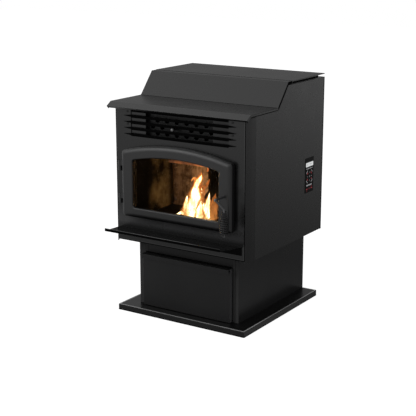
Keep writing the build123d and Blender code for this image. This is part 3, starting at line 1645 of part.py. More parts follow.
# ------------------------------------------------------------------ power inlet
inlet_half_x = inlet_width / 2
inlet_half_z = inlet_height / 2
with BuildPart() as power_inlet:
    block(
        (inlet_x - inlet_half_x + seat, rear_y - inlet_depth, inlet_z - inlet_half_z + seat),
        (inlet_x + inlet_half_x - seat, rear_y, inlet_z + inlet_half_z - seat),
    )
    flange_x = inlet_half_x + inlet_flange[0]
    flange_z = inlet_half_z + inlet_flange[1]
    block(
        (inlet_x - flange_x, rear_y, inlet_z - flange_z),
        (inlet_x + flange_x, rear_y + pipe_flange_sheet, inlet_z + flange_z),
    )
    well_x = inlet_half_x - inlet_wall
    well_z = inlet_half_z - inlet_wall
    block(
        (inlet_x - well_x, rear_y - inlet_well, inlet_z - well_z),
        (inlet_x + well_x, rear_y + pipe_flange_sheet, inlet_z + well_z),
        mode=Mode.SUBTRACT,
    )
    for x in (inlet_x - prong_spread, inlet_x, inlet_x + prong_spread):
        block(
            (x - prong_half[0], rear_y - inlet_well, inlet_z - prong_half[1]),
            (x + prong_half[0], rear_y - prong_setback, inlet_z + prong_half[1]),
        )
finish(power_inlet, "power_inlet")
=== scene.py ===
"""The looks of the pellet stove: materials, fire, fine details, studio light and camera.

Metres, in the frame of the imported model. +Z is up and the door faces -Y.
"""

import random
from math import atan2, cos, pi, radians, sin, sqrt, tan, tau

import bpy
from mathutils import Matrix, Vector, noise


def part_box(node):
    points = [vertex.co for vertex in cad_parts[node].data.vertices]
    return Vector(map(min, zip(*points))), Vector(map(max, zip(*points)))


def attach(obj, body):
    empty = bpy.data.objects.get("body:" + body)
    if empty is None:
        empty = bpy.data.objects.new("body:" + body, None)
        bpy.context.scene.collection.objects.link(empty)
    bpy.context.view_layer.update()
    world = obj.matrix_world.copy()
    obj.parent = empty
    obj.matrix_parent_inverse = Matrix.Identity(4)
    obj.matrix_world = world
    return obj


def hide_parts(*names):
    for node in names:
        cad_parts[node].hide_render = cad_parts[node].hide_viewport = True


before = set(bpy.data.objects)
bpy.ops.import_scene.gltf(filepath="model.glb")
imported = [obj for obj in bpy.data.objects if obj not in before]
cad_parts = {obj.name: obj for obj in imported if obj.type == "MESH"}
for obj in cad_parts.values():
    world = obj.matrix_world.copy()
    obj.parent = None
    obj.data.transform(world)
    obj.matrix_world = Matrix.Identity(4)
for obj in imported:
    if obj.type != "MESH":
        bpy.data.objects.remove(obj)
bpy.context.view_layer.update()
MM = 0.001

# ---------------- places read from the frame
front_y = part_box("front_panel")[0].y
door_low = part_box("door_frame")[0]
rope_low, rope_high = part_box("door_rope")
seal_low, seal_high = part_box("hopper_seal")
base_low, base_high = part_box("base_plate")
pedestal_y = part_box("pedestal_shell")[0].y
side_low, side_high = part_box("side_panel_right")
lip_low, lip_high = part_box("ash_lip")
drawer_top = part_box("drawer_front")[1].z
lid_low, lid_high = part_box("hopper_lid")
blades_low, blades_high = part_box("louvre_blades")
plate_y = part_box("firebox_front")[0].y
exchanger_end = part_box("exchanger_face")[1].x
overlay_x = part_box("control_overlay")[1].x
display_low, display_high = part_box("control_display")
liner_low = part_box("firebox_liners")[0]
baffle_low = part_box("baffle_plate")[0]
pot_low, pot_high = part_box("burn_pot")
FIREBOX_DEPTH = 0.238  # from the front panel to the rear liner
rear_wall_y = front_y + FIREBOX_DEPTH


# ---------------- material helpers
class Nodes:
    """A node tree under construction."""

    def __init__(self, tree):
        self.tree = tree

    def node(self, kind, inputs=(), **settings):
        """A node with its settings, and its inputs by name or number as values or links."""
        made = self.tree.nodes.new("ShaderNode" + kind)
        for name, value in settings.items():
            setattr(made, name, value)
        for key, value in dict(inputs).items():
            if isinstance(value, bpy.types.NodeSocket):
                self.tree.links.new(value, made.inputs[key])
            else:
                made.inputs[key].default_value = value
        return made

    def math(self, operation, first, second=0.0):
        """One step of arithmetic."""
        return self.node("Math", {0: first, 1: second}, operation=operation).outputs[0]

    def along(self, direction, place):
        """How far a place or direction lies along another direction."""
        product = self.node("VectorMath", {0: place, 1: direction}, operation="DOT_PRODUCT")
        return product.outputs["Value"]


class Shader(Nodes):
    """A material under construction, with one Principled surface."""

    def __init__(self, name, specular=0.5, **surface):
        self.material = bpy.data.materials.new(name)
        self.material.use_nodes = True
        super().__init__(self.material.node_tree)
        self.surface = self.tree.nodes["Principled BSDF"]
        self.surface.inputs["Specular IOR Level"].default_value = specular
        for socket, value in surface.items():
            self.surface.inputs[socket.replace("_", " ")].default_value = value
        self.place = self.node("TexCoord").outputs["Object"]

    def axis(self, index):
        """The place along X, Y or Z by number, in metres."""
        return self.node("SeparateXYZ", {0: self.place}).outputs[index]

    def stretched(self, x, y, z):
        """The object's coordinates, each axis scaled."""
        scaled = self.node("VectorMath", {0: self.place, 1: (x, y, z)}, operation="MULTIPLY")
        return scaled.outputs[0]

    def noise(self, scale, detail=3.0, roughness=0.55, place=None):
        """Soft noise from 0 to 1 around a half, with scale in features per metre."""
        inputs = {"Vector": place or self.place, "Scale": scale, "Detail": detail, "Roughness": roughness}
        return self.node("TexNoise", inputs).outputs["Fac"]

    def spread(self, value, low, high, to_low=0.0, to_high=1.0):
        """A value's range mapped to another one, clamped."""
        inputs = {0: value, 1: low, 2: high, 3: to_low, 4: to_high}
        return self.node("MapRange", inputs, clamp=True).outputs[0]

    def mix(self, factor, low, high):
        """Two colours mixed by a factor; each is a colour or a link."""
        made = self.node("Mix", {0: factor}, data_type="RGBA")
        for index, value in ((6, low), (7, high)):
            if isinstance(value, bpy.types.NodeSocket):
                self.tree.links.new(value, made.inputs[index])
            else:
                made.inputs[index].default_value = (*value, 1.0)
        return made.outputs[2]

    def edges(self, radius):
        """1 on outer and inner edges and 0 on flat faces, from the rounded normal."""
        rounded = self.node("Bevel", {"Radius": radius}, samples=6).outputs[0]
        plain = self.node("NewGeometry").outputs["Normal"]
        return self.spread(self.along(rounded, plain), 1.0, 0.88)

    def set(self, socket, value):
        """Link a value into the surface."""
        self.tree.links.new(value, self.surface.inputs[socket])

    def shades(self, factor, colour, low, high):
        """Two shades of one colour mixed by a factor."""
        return self.mix(factor, lighter(colour, low), lighter(colour, high))

    def paint(self, factor, low, high):
        """The surface's colour, mixed by a factor."""
        self.set("Base Color", self.mix(factor, low, high))

    def shine(self, factor, low, high):
        """The colour of the surface's own light, mixed by a factor."""
        self.set("Emission Color", self.mix(factor, low, high))

    def gloss(self, value, low, high, smooth, rough):
        """The surface's roughness, spread over a value's range."""
        self.set("Roughness", self.spread(value, low, high, smooth, rough))

    def bump(self, height, strength, distance):
        """Raise the surface by a height map."""
        inputs = {"Height": height, "Strength": strength, "Distance": distance}
        self.set("Normal", self.node("Bump", inputs).outputs[0])


def add_object(name, data):
    """A new object in the scene."""
    made = bpy.data.objects.new(name, data)
    bpy.context.scene.collection.objects.link(made)
    return made


def turn_to(thing, place):
    """Turn a camera or lamp towards a place."""
    thing.rotation_mode = "QUATERNION"
    thing.rotation_quaternion = (Vector(place) - thing.location).to_track_quat("-Z", "Y")


def lighter(colour, share):
    """A colour made lighter or darker by a share."""
    return tuple(min(1.0, channel * share) for channel in colour)


# ---------------- paints and metals
ORANGE_PEEL = 1400.0  # features per metre


def powder_coat(name, colour, roughness, edge_wear_and_highlight=7.0, specular=0.33, side=1.0, dust_and_painted_light=None):
    """Satin powder coat: fine orange peel, soft clouding, and lighter edges that are partly paint wear and
    partly a painted highlight.

    side is how much lighter the faces are that face sideways: painted light. The band argument is a lighter
    band of painted light: the four heights between which it fades in and out, and how much lighter it is."""
    coat = Shader(name, specular=specular)
    clouds = coat.noise(5.0, detail=4.0)
    flecks = coat.noise(ORANGE_PEEL * 0.9, detail=2.0)
    body = coat.shades(coat.spread(clouds, 0.3, 0.7), colour, 0.88, 1.12)
    body = coat.mix(coat.spread(flecks, 0.55, 0.8, 0.0, 0.35), body, lighter(colour, 1.7))
    if side != 1.0:
        # Faces that look sideways are made lighter: painted light.
        normal = coat.node("NewGeometry").outputs["True Normal"]
        across = coat.node("SeparateXYZ", {0: normal}).outputs[0]
        sideways_painted_light = coat.spread(coat.math("ABSOLUTE", across), 0.8, 0.95)
        body = coat.mix(sideways_painted_light, body, lighter(colour, side))
    if dust_and_painted_light:
        # A lighter band between two heights: painted light.
        bottom, full, fading, top, share = dust_and_painted_light
        height = coat.axis(2)
        rising, falling = coat.spread(height, bottom, full), coat.spread(height, fading, top, 1.0, 0.0)
        body = coat.mix(coat.math("MULTIPLY", rising, falling), body, lighter(colour, share))
    # Lighter edges broken by noise: partly paint wear, partly a painted highlight.
    rim = coat.math("MULTIPLY", coat.edges(1.3 * MM), coat.spread(coat.noise(60.0), 0.35, 0.65, 0.35, 1.0))
    coat.paint(rim, body, lighter(colour, edge_wear_and_highlight))
    smudges = coat.noise(9.0, detail=5.0, roughness=0.65)
    coat.gloss(smudges, 0.25, 0.75, roughness - 0.05, roughness + 0.06)
    coat.bump(coat.noise(ORANGE_PEEL, detail=2.0), 0.12, 0.25 * MM)
    return coat.material


def casting(name, colour):
    """Painted cast iron: pebbled skin, slow waves and edges rubbed lighter."""
    iron = Shader(name, specular=0.36)
    pebbles = iron.noise(420.0, detail=4.0, roughness=0.6)
    waves = iron.noise(24.0, detail=2.0)
    body = iron.shades(iron.spread(waves, 0.3, 0.7), colour, 0.9, 1.12)
    body = iron.mix(iron.spread(pebbles, 0.5, 0.75, 0.0, 0.4), body, lighter(colour, 1.5))
    iron.paint(iron.edges(1.6 * MM), body, lighter(colour, 1.6))
    iron.gloss(pebbles, 0.3, 0.7, 0.36, 0.48)
    height = iron.math("ADD", pebbles, iron.math("MULTIPLY", waves, 1.5))
    iron.bump(height, 0.22, 0.35 * MM)
    return iron.material


def scorched(name):
    """Fire-browned plate: soot, brown heat bloom and faint upright streaks."""
    plate = Shader(name, specular=0.25)
    bloom = plate.noise(7.0, detail=5.0, roughness=0.6)
    streaks = plate.noise(1.0, detail=4.0, place=plate.stretched(70.0, 70.0, 5.0))
    soot = plate.noise(28.0, detail=6.0, roughness=0.7)
    body = plate.mix(plate.spread(bloom, 0.38, 0.66), (0.014, 0.009, 0.006), (0.10, 0.055, 0.024))
    body = plate.mix(plate.spread(streaks, 0.45, 0.75, 0.0, 0.6), body, (0.085, 0.055, 0.034))
    body = plate.mix(plate.spread(soot, 0.5, 0.72, 0.0, 0.8), body, (0.006, 0.005, 0.0045))
    plate.set("Base Color", body)
    plate.gloss(soot, 0.3, 0.7, 0.6, 0.9)
    plate.bump(plate.math("ADD", soot, streaks), 0.35, 0.8 * MM)
    return plate.material


def liner_plate(name):
    """Firebox wall: near-black near the door, brown bloom deeper in and painted shade into the rear corners;
    a rear wall made much lighter as painted firelight, with painted shade high up and to the left.
    """
    plate = Shader(name, specular=0.04)
    across, depth, height = (plate.axis(index) for index in range(3))
    bloom = plate.noise(9.0, detail=5.0, roughness=0.62)
    streaks = plate.noise(1.0, detail=5.0, roughness=0.65, place=plate.stretched(120.0, 120.0, 11.0))
    soot = plate.noise(20.0, detail=6.0, roughness=0.75)
    side = plate.mix(plate.spread(bloom, 0.44, 0.64), (0.004, 0.0032, 0.0014), (0.125, 0.100, 0.054))
    # The side walls near black near the door, with the brown bloom deeper in.
    burnt = plate.spread(depth, front_y + 0.075, front_y + 0.125)
    side = plate.mix(burnt, (0.0006, 0.0005, 0.0003), side)
    # Darker into the rear corners: painted shade.
    corner = plate.spread(depth, rear_wall_y - 0.034, rear_wall_y - 0.012, 0.0, 0.9)
    side = plate.mix(corner, side, (0.004, 0.003, 0.0015))
    # The rear wall far lighter than the side walls: painted firelight.
    rear = plate.mix(plate.spread(streaks, 0.3, 0.74), (0.17, 0.118, 0.080), (0.40, 0.28, 0.185))
    rear = plate.mix(plate.spread(soot, 0.44, 0.62, 0.0, 0.8), rear, (0.020, 0.014, 0.009))
    # Darker high up and to the left, away from the flame: painted shade, its edge ragged with the soot.
    high_painted_shade = plate.spread(height, 0.47, 0.60, 0.0, 0.6)
    left_painted_shade = plate.spread(across, -0.16, -0.02, 0.4, 0.0)
    ragged = plate.spread(soot, 0.3, 0.6, 0.75, 1.1)
    painted_shade_from_fire = plate.math("MULTIPLY", plate.math("MAXIMUM", high_painted_shade, left_painted_shade), ragged)
    rear = plate.mix(painted_shade_from_fire, rear, (0.012, 0.008, 0.005))
    on_rear_wall = plate.spread(depth, rear_wall_y - 0.0009, rear_wall_y - 0.0004)
    plate.paint(on_rear_wall, side, rear)
    plate.gloss(soot, 0.3, 0.7, 0.5, 0.85)
    plate.bump(plate.math("ADD", soot, streaks), 0.3, 0.7 * MM)
    return plate.material


def lip_with_painted_firelight(name):
    """Baffle plate whose front lip glows with painted firelight, most of all above the flame's tip."""
    plate = Shader(name, specular=0.2, Emission_Strength=1.0)
    soot = plate.noise(60.0, detail=5.0)
    low = plate.spread(plate.axis(2), baffle_low.z, baffle_low.z + 0.016, 1.0, 0.0)
    near = plate.spread(plate.axis(0), -0.10, 0.075, 0.10, 1.0)
    clean = plate.spread(soot, 0.3, 0.62, 0.35, 1.0)
    # Painted firelight: strongest low on the lip, towards the flame, and where the soot is thin.
    heat = plate.math("MULTIPLY", plate.math("MULTIPLY", low, near), clean)
    plate.paint(soot, (0.012, 0.008, 0.005), (0.08, 0.045, 0.025))
    plate.shine(heat, (0.0, 0.0, 0.0), (0.85, 0.26, 0.075))
    plate.bump(soot, 0.3, 0.6 * MM)
    return plate.material


def galvanised(name):
    """Zinc-coated sheet with its crystal spangle."""
    sheet = Shader(name, Metallic=0.85, specular=0.5)
    inputs = {"Vector": sheet.place, "Scale": 110.0}
    spangle = sheet.node("TexVoronoi", inputs, feature="F1").outputs["Color"]
    shade = sheet.node("SeparateColor", {0: spangle}).outputs[0]
    sheet.paint(shade, (0.30, 0.31, 0.33), (0.52, 0.54, 0.56))
    sheet.gloss(shade, 0.0, 1.0, 0.34, 0.5)
    sheet.bump(sheet.noise(300.0), 0.08, 0.2 * MM)
    return sheet.material


def steel(name, tint, grain=(14.0, 900.0, 14.0), metallic=0.9):
    """Bare steel with brushing lines and a faint heat tint."""
    bar = Shader(name, Metallic=metallic, specular=0.5)
    lines = bar.noise(1.0, place=bar.stretched(*grain))
    heat = bar.noise(14.0)
    body = bar.shades(bar.spread(lines, 0.3, 0.7), tint, 0.8, 1.2)
    warm = (tint[0] * 0.8, tint[1] * 0.62, tint[2] * 0.45)
    bar.paint(bar.spread(heat, 0.5, 0.8, 0.0, 0.7), body, warm)
    bar.gloss(lines, 0.3, 0.7, 0.3, 0.5)
    bar.bump(lines, 0.12, 0.15 * MM)
    return bar.material


def sooted(name):
    """Steel under a dead black coat of soot, browner in patches."""
    plate = Shader(name, specular=0.12)
    patches = plate.noise(14.0, detail=5.0, roughness=0.65)
    shade = plate.spread(patches, 0.45, 0.7)
    plate.paint(shade, (0.0014, 0.0012, 0.001), (0.010, 0.007, 0.004))
    plate.gloss(patches, 0.3, 0.7, 0.6, 0.85)
    plate.bump(patches, 0.3, 0.6 * MM)
    return plate.material


def enamel(name, colour, roughness=0.32, specular=0.5):
    """Glossier black paint on wire, bar and motors, with rubbed edges."""
    paint = Shader(name, specular=specular)
    dust_and_painted_light = paint.noise(260.0, detail=4.0)
    body = paint.mix(paint.spread(dust_and_painted_light, 0.45, 0.75, 0.0, 0.5), colour, lighter(colour, 1.9))
    paint.paint(paint.edges(0.8 * MM), body, lighter(colour, 3.0))
    paint.gloss(dust_and_painted_light, 0.3, 0.7, roughness - 0.06, roughness + 0.1)
    paint.bump(dust_and_painted_light, 0.1, 0.12 * MM)
    return paint.material


def clear_glass(name):
    """Ceramic glass: nearly clear, with a smoky film that is denser at a low angle."""
    pane = Shader(name, Roughness=0.03, specular=0.06)
    film = pane.noise(6.0, detail=4.0)
    pane.paint(film, (0.003, 0.0025, 0.002), (0.010, 0.008, 0.006))
    rim = pane.node("Fresnel", {"IOR": 1.35}).outputs[0]
    haze = pane.spread(film, 0.35, 0.8, 0.01, 0.035)
    pane.set("Alpha", pane.math("ADD", haze, pane.math("MULTIPLY", rim, 0.8)))
    return pane.material


def woven_rope(name, colour):
    """Knitted fibreglass: diagonal strands with soot in the hollows."""
    rope = Shader(name, Roughness=0.95, specular=0.1, Sheen_Weight=0.2)
    inputs = {"Vector": rope.place, "Scale": 420.0, "Distortion": 2.0}
    strands = rope.node("TexWave", inputs, bands_direction="DIAGONAL").outputs["Fac"]
    fuzz = rope.noise(1500.0)
    rope.paint(strands, lighter(colour, 0.45), lighter(colour, 1.25))
    rope.bump(rope.math("ADD", strands, fuzz), 0.5, 0.5 * MM)
    return rope.material


def plastic(name, colour, roughness, grain=2200.0, glow=0.0, specular=0.4):
    """Moulded or printed plastic with a fine grain, lit from behind where it has a glow."""
    skin = Shader(name, specular=specular)
    if glow:
        skin.surface.inputs["Emission Color"].default_value = (*colour, 1.0)
        skin.surface.inputs["Emission Strength"].default_value = glow
    fine = skin.noise(grain, detail=2.0)
    slow = skin.spread(skin.noise(30.0), 0.3, 0.7)
    skin.paint(slow, lighter(colour, 0.93), lighter(colour, 1.07))
    skin.gloss(fine, 0.3, 0.7, roughness - 0.05, roughness + 0.05)
    skin.bump(fine, 0.1, 0.08 * MM)
    return skin.material


def circuit(name):
    """Green laminate with faint copper tracks."""
    board = Shader(name, Roughness=0.4)
    inputs = {"Vector": board.place, "Scale": 160.0}
    tracks = board.node("TexBrick", inputs).outputs["Fac"]
    board.paint(tracks, (0.01, 0.09, 0.035), (0.10, 0.22, 0.06))
    board.bump(tracks, 0.2, 0.1 * MM)
    return board.material


SATIN = (0.0036, 0.0036, 0.0037)
finishes = {
    "satin_black": powder_coat("satin powder coat", SATIN, 0.27),
    "cast_black": casting("painted cast iron", (0.0045, 0.0045, 0.0047)),
    "bare_steel": steel("bare steel", (0.24, 0.24, 0.245)),
    "galvanised": galvanised("galvanised sheet"),
    "scorched_plate": scorched("scorched plate"),
    "door_glass": clear_glass("ceramic glass"),
    "rope_seal": woven_rope("rope seal", (0.16, 0.155, 0.15)),
    "handle_black": enamel("handle enamel", (0.005, 0.005, 0.0053), 0.24, specular=0.75),
    "overlay_film": plastic("overlay film", (0.0012, 0.0012, 0.0014), 0.42, specular=0.06),
    "display_window": plastic("display window", (0.78, 0.80, 0.80), 0.2, grain=600.0, glow=0.45),
    "key_cap": plastic("key cap", (0.003, 0.0028, 0.003), 0.45, specular=0.12),
    "circuit_board": circuit("circuit board"),
    "motor_paint": enamel("motor enamel", (0.03, 0.03, 0.032), 0.4),
    "zinc_screw": enamel("blackened screw", (0.004, 0.004, 0.0042), 0.4, specular=0.22),
    "ceramic_heater": steel("heater sheath", (0.35, 0.34, 0.32), grain=(600.0, 14.0, 600.0)),
}
# Near-black matt blades: painted shade, for the shade the blades stand in under the cover.
louvre_painted_shade = powder_coat("louvre blades in shade", (0.0005, 0.0005, 0.0005), 0.6, specular=0.015)
exchanger_black = powder_coat("exchanger paint", (0.0028, 0.0028, 0.0028), 0.38, specular=0.24)
# Near black for painted shade in seams, gaps, creases, under hems and along the base's foot.
painted_shade_black = powder_coat("shadow seam", (0.0004, 0.0004, 0.0004), 0.7, edge_wear_and_highlight=1.0, specular=0.02)
# Far lighter than the black paint: painted light for the pedestal's stiles beside the drawer.
stile_painted_light = powder_coat("pedestal stile painted light", (0.044, 0.044, 0.0444), 0.5, edge_wear_and_highlight=1.0, specular=0.03)
# Pale paint for edges that should shine: a painted highlight.
painted_edge_highlight = powder_coat("painted edge highlight", (0.34, 0.34, 0.342), 0.3, edge_wear_and_highlight=1.0, specular=0.6)
# A glossier strip of the black paint, laid where the bends of the sheet should shine: a painted highlight.
glossy_edge_strip = powder_coat("rubbed edge", SATIN, 0.25, edge_wear_and_highlight=1.5, specular=0.6)
PAINTED_LIGHT_BAND = (0.335, 0.35, 0.36, 0.42, 8.5)  # painted light: a lighter band on the front panel, under the door
OWN_FINISH = {
    "louvre_blades": louvre_painted_shade,
    "exchanger_face": exchanger_black,
    "exchanger_tubes": exchanger_black,
    "feed_chute": exchanger_black,
    # Darker than the other black sheet for the shade on its top: painted shade; its edges much lighter,
    # partly as a painted highlight.
    "ash_lip": powder_coat("ash lip paint", (0.0012, 0.0012, 0.0012), 0.24, edge_wear_and_highlight=10.0, specular=0.03),
    "base_plate": powder_coat("base paint", SATIN, 0.31, specular=0.285),
    # Its sideways faces 3.5 times lighter: painted light.
    "pedestal_shell": powder_coat("pedestal paint", SATIN, 0.3, specular=0.18, side=3.5),
    "front_panel": powder_coat("front panel paint", SATIN, 0.27, dust_and_painted_light=PAINTED_LIGHT_BAND),
    # Lighter than the other black sheet, and eight times lighter on its sides: painted light.
    "drawer_front": powder_coat(
        "drawer paint", (0.0085, 0.0085, 0.0088), 0.36, edge_wear_and_highlight=2.5, specular=0.2, side=8.0
    ),
    "firebox_liners": liner_plate("firebox liner"),
    "baffle_plate": lip_with_painted_firelight("baffle in the fire"),
    "coil_grip": enamel("grip wire", (0.004, 0.004, 0.0042), 0.45, specular=0.3),
    "handle_rod": enamel("handle rod", (0.02, 0.02, 0.021), 0.3, specular=0.9),
    "scraper_rod": steel("scraper steel", (0.10, 0.10, 0.10)),
    "auger_tube": sooted("sooted tube"),
    "glass_clips": enamel("sooted clip", (0.004, 0.0035, 0.003), 0.5, specular=0.2),
    "firebox_shell": sooted("sooted shell"),
}

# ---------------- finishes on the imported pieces
EDGE_ROUND = 0.7  # mm
OWN_EDGE_ROUND = {
    "base_plate": 1.2,
    "mantel_cover": 1.5,
    "hopper_lid": 1.1,
    "ash_lip": 0.9,
    "drawer_front": 1.1,
    "door_frame": 2.2,
    "burn_pot": 1.0,
    "scraper_plate": 0.4,
    "control_display": 0.15,
    "control_overlay": 0.15,
    "control_board": 0.2,
}
LEFT_AS_BUILT = ("coil_grip", "auger_screw", "door_glass", "exchanger_tubes")
FLAT_ANGLE, SHARP_ANGLE = 0.4, 28.0  # degrees: flatter facets are joined, sharper edges rounded


def modify(piece, name, kind, **settings):
    """A modifier with its settings."""
    made = piece.modifiers.new(name, kind)
    for setting, value in settings.items():
        setattr(made, setting, value)


def soften(piece, width, segments):
    """Round the piece's sharp edges so that they catch the light."""
    flat, sharp = radians(FLAT_ANGLE), radians(SHARP_ANGLE)
    modify(piece, "joined skin", "WELD", merge_threshold=0.01 * MM)
    modify(piece, "whole flat faces", "DECIMATE", decimate_type="DISSOLVE", angle_limit=flat)
    rounding = {"width": width, "segments": segments, "limit_method": "ANGLE", "angle_limit": sharp}
    modify(piece, "rounded edges", "BEVEL", **rounding)
    modify(piece, "flat faces", "WEIGHTED_NORMAL", weight=100)


for node_name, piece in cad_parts.items():
    slot_name = piece.data.materials[0].name.split(".")[0]
    for slot in piece.material_slots:
        slot.material = OWN_FINISH.get(node_name, finishes[slot_name])
    if node_name not in LEFT_AS_BUILT and not node_name.startswith("key_"):
        width = OWN_EDGE_ROUND.get(node_name, EDGE_ROUND)
        soften(piece, width * MM, 3 if node_name == "door_frame" else 2)


# ---------------- mesh helpers
def mesh_piece(name, vertices, faces, slot_name, material=None, body="cabinet", smooth=True):
    """A mesh of its own that rides a body, in its slot's finish or in a material of its own."""
    data = bpy.data.meshes.new(name)
    data.from_pydata([tuple(v) for v in vertices], [], faces)
    data.materials.append(material or finishes[slot_name])
    data.update()
    piece = add_object(name, data)
    for polygon in data.polygons:
        polygon.use_smooth = smooth
    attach(piece, body)
    return piece


def tube_faces(start, rings, count, closed=False, ends=False):
    """Faces that join rings of points stored one after another, with or without end faces."""
    faces = []
    for ring in range(rings if closed else rings - 1):
        low, high = start + ring * count, start + (ring + 1) % rings * count
        for i in range(count):
            j = (i + 1) % count
            faces.append((low + i, low + j, high + j, high + i))
    if ends:
        last = start + (rings - 1) * count
        faces.append(tuple(start + i for i in reversed(range(count))))
        faces.append(tuple(last + i for i in range(count)))
    return faces


def rings_piece(name, rings, slot_name, material=None):
    """A closed skin over rings of equally many points."""
    vertices = [point for ring in rings for point in ring]
    faces = tube_faces(0, len(rings), len(rings[0]), ends=True)
    mesh_piece(name, vertices, faces, slot_name, material)


def oval(centre, u, v, sides):
    """A ring of points round a centre, with two half axes."""
    return [centre + u * cos(tau * i / sides) + v * sin(tau * i / sides) for i in range(sides)]


RUN_IN = 2.0 * MM  # straight stretch kept before and after a rounded corner
HAIR = 0.08 * MM


def rounded_outline(corners, radius, bulge=None, arc_steps=5, arc_points=40):
    """A closed outline, anticlockwise, with rounded corners; bulge is (edge, centre, radius)
    for one edge that is an arc of a circle instead of a line."""
    count = len(corners)
    edge, arc_centre, arc_radius = bulge or (None, Vector((0.0, 0.0)), 0.0)
    points = []
    for index, corner in enumerate(corners):
        before, after = corners[index - 1], corners[(index + 1) % count]
        into, out = (before - corner).normalized(), (after - corner).normalized()
        spoke = (corner - arc_centre).normalized()
        if index == edge:
            out = Vector((-spoke.y, spoke.x))
        if (index - 1) % count == edge:
            into = Vector((spoke.y, -spoke.x))
        half = into.angle(out) / 2
        reach = radius / tan(half)
        centre = corner + (into + out).normalized() * (radius / sin(half))
        first = corner + into * reach - centre
        turn = pi - 2 * half
        points.append(corner + into * (reach + RUN_IN))
        for step in range(arc_steps + 1):
            angle = turn * step / arc_steps
            cosine, sine = cos(angle), sin(angle)
            spun = Vector((first.x * cosine - first.y * sine, first.x * sine + first.y * cosine))
            points.append(centre + spun)
        points.append(corner + out * (reach + RUN_IN))
        if index == edge:
            start = atan2(points[-1].y - arc_centre.y, points[-1].x - arc_centre.x)
            for step in range(1, arc_points):
                angle = start + (pi - 2 * start) * step / arc_points
                points.append(arc_centre + Vector((cos(angle), sin(angle))) * arc_radius)
    return points


def arched_outline(width, bottom, height, crown, corner):
    """The door's and window's outline in millimetres, as points in metres."""
    half, shoulder = width / 2, bottom + height
    radius = (half * half + crown * crown) / (2 * crown)
    centre = Vector((0.0, bottom + height + crown - radius))
    places = ((-half, bottom), (half, bottom), (half, shoulder), (-half, shoulder))
    corners = [Vector(place) * MM for place in places]
    return rounded_outline(corners, corner * MM, (2, centre * MM, radius * MM))


def inset_arch(width, bottom, height, crown, depth):
    """An arched outline's measures moved inwards by a depth."""
    radius = (width * width / 4 + crown * crown) / (2 * crown)
    centre = bottom + height + crown - radius
    half = width / 2 - depth
    shoulder = centre + sqrt((radius - depth) ** 2 - half * half)
    return 2 * half, bottom + depth, shoulder - bottom - depth, centre + radius - depth - shoulder


def roundover(depth, steps):
    """Profile steps (share across, depth) of a rounded edge, a hair proud of both faces."""
    profile = []
    for step in range(steps + 1):
        angle = pi / 2 * step / steps
        profile.append((1 - cos(angle), depth * (1 - sin(angle)) - HAIR))
    return profile


def rim_piece(name, outer, inner, place, profile, slot_name, material=None, body="cabinet"):
    """A skin that follows a closed edge from its outer to its inner outline."""
    vertices = []
    for share, depth in profile:
        vertices.extend(place(a.lerp(b, share), -depth) for a, b in zip(outer, inner))
    faces = tube_faces(0, len(profile), len(outer))
    mesh_piece(name, vertices, faces, slot_name, material, body)


def even_path(points, spacing):
    """A closed path's points at even steps, with the path's direction at each."""
    loop = points + [points[0]]
    lengths = [0.0]
    for a, b in zip(loop, loop[1:]):
        lengths.append(lengths[-1] + (b - a).length)
    count = max(8, round(lengths[-1] / spacing))
    found, index = [], 0
    for step in range(count):
        target = lengths[-1] * step / count
        while lengths[index + 1] < target:
            index += 1
        part = (target - lengths[index]) / max(1e-9, lengths[index + 1] - lengths[index])
        found.append(loop[index].lerp(loop[index + 1], part))
    ahead = [(found[(i + 1) % count] - found[i - 1]).normalized() for i in range(count)]
    return found, ahead


def braid_piece(name, points, place, half_width, half_height, pitch, body):
    """Three strands that wind round a closed path within a flat oval, as a braided rope."""
    strands, sides, thick, steps_a_turn = 3, 8, 0.56, 9
    path, ahead = even_path(points, pitch / steps_a_turn)
    count = len(path)
    turns = max(1, round(count / steps_a_turn))
    vertices, faces = [], []
    for strand in range(strands):
        faces += tube_faces(len(vertices), count, sides, closed=True)
        for i in range(count):
            phase = tau * (turns * i / count + strand / strands)
            out = Vector((ahead[i].y, -ahead[i].x))
            side = cos(phase) * half_width * (1 - thick)
            rise = sin(phase) * half_height * (1 - thick)
            for corner in range(sides):
                turn = tau * corner / sides
                across = side + cos(turn) * half_width * thick
                up = rise + sin(turn) * half_height * thick
                vertices.append(place(path[i] + out * across, up))
    return mesh_piece(name, vertices, faces, "rope_seal", body=body)


def marks_piece(name, outlines, place, height, slot_name, material=None, body="cabinet"):
    """Flat raised marks: each outline gets a top face and side walls."""
    vertices, faces = [], []
    for outline in outlines:
        start, count = len(vertices), len(outline)
        vertices.extend(place(point, 0.0) for point in outline)
        vertices.extend(place(point, height) for point in outline)
        faces.append(tuple(start + count + i for i in range(count)))
        faces += tube_faces(start, 2, count)
    mesh_piece(name, vertices, faces, slot_name, material, body, smooth=False)


def bar(u, v, width, height):
    """A small rectangle by its centre, in millimetres, as points in metres."""
    corners = ((-1, -1), (1, -1), (1, 1), (-1, 1))
    return [Vector((u + a * width / 2, v + b * height / 2)) * MM for a, b in corners]


def sector(u, v, low, high, start, end, steps=10):
    """A piece of a flat ring by radii and angles in degrees."""
    angles = [radians(start + (end - start) * i / steps) for i in range(steps + 1)]
    places = [(high, a) for a in angles] + [(low, a) for a in reversed(angles)]
    return [Vector((u + reach * cos(a), v + reach * sin(a))) * MM for reach, a in places]


def on_front(y):
    """Places marks on a face that looks forwards at a depth."""
    return lambda point, height: Vector((point.x, y - height, point.y))


def on_right(x):
    """Places marks on a face that looks to the right."""
    return lambda point, height: Vector((x + height, point.x, point.y))


def on_left(x):
    """Places marks on a face that looks to the left; their outlines run the other way round."""
    return lambda point, height: Vector((x - height, point.x, point.y))


def on_top(z):
    """Places marks on a level face."""
    return lambda point, height: Vector((point.x, point.y, z + height))


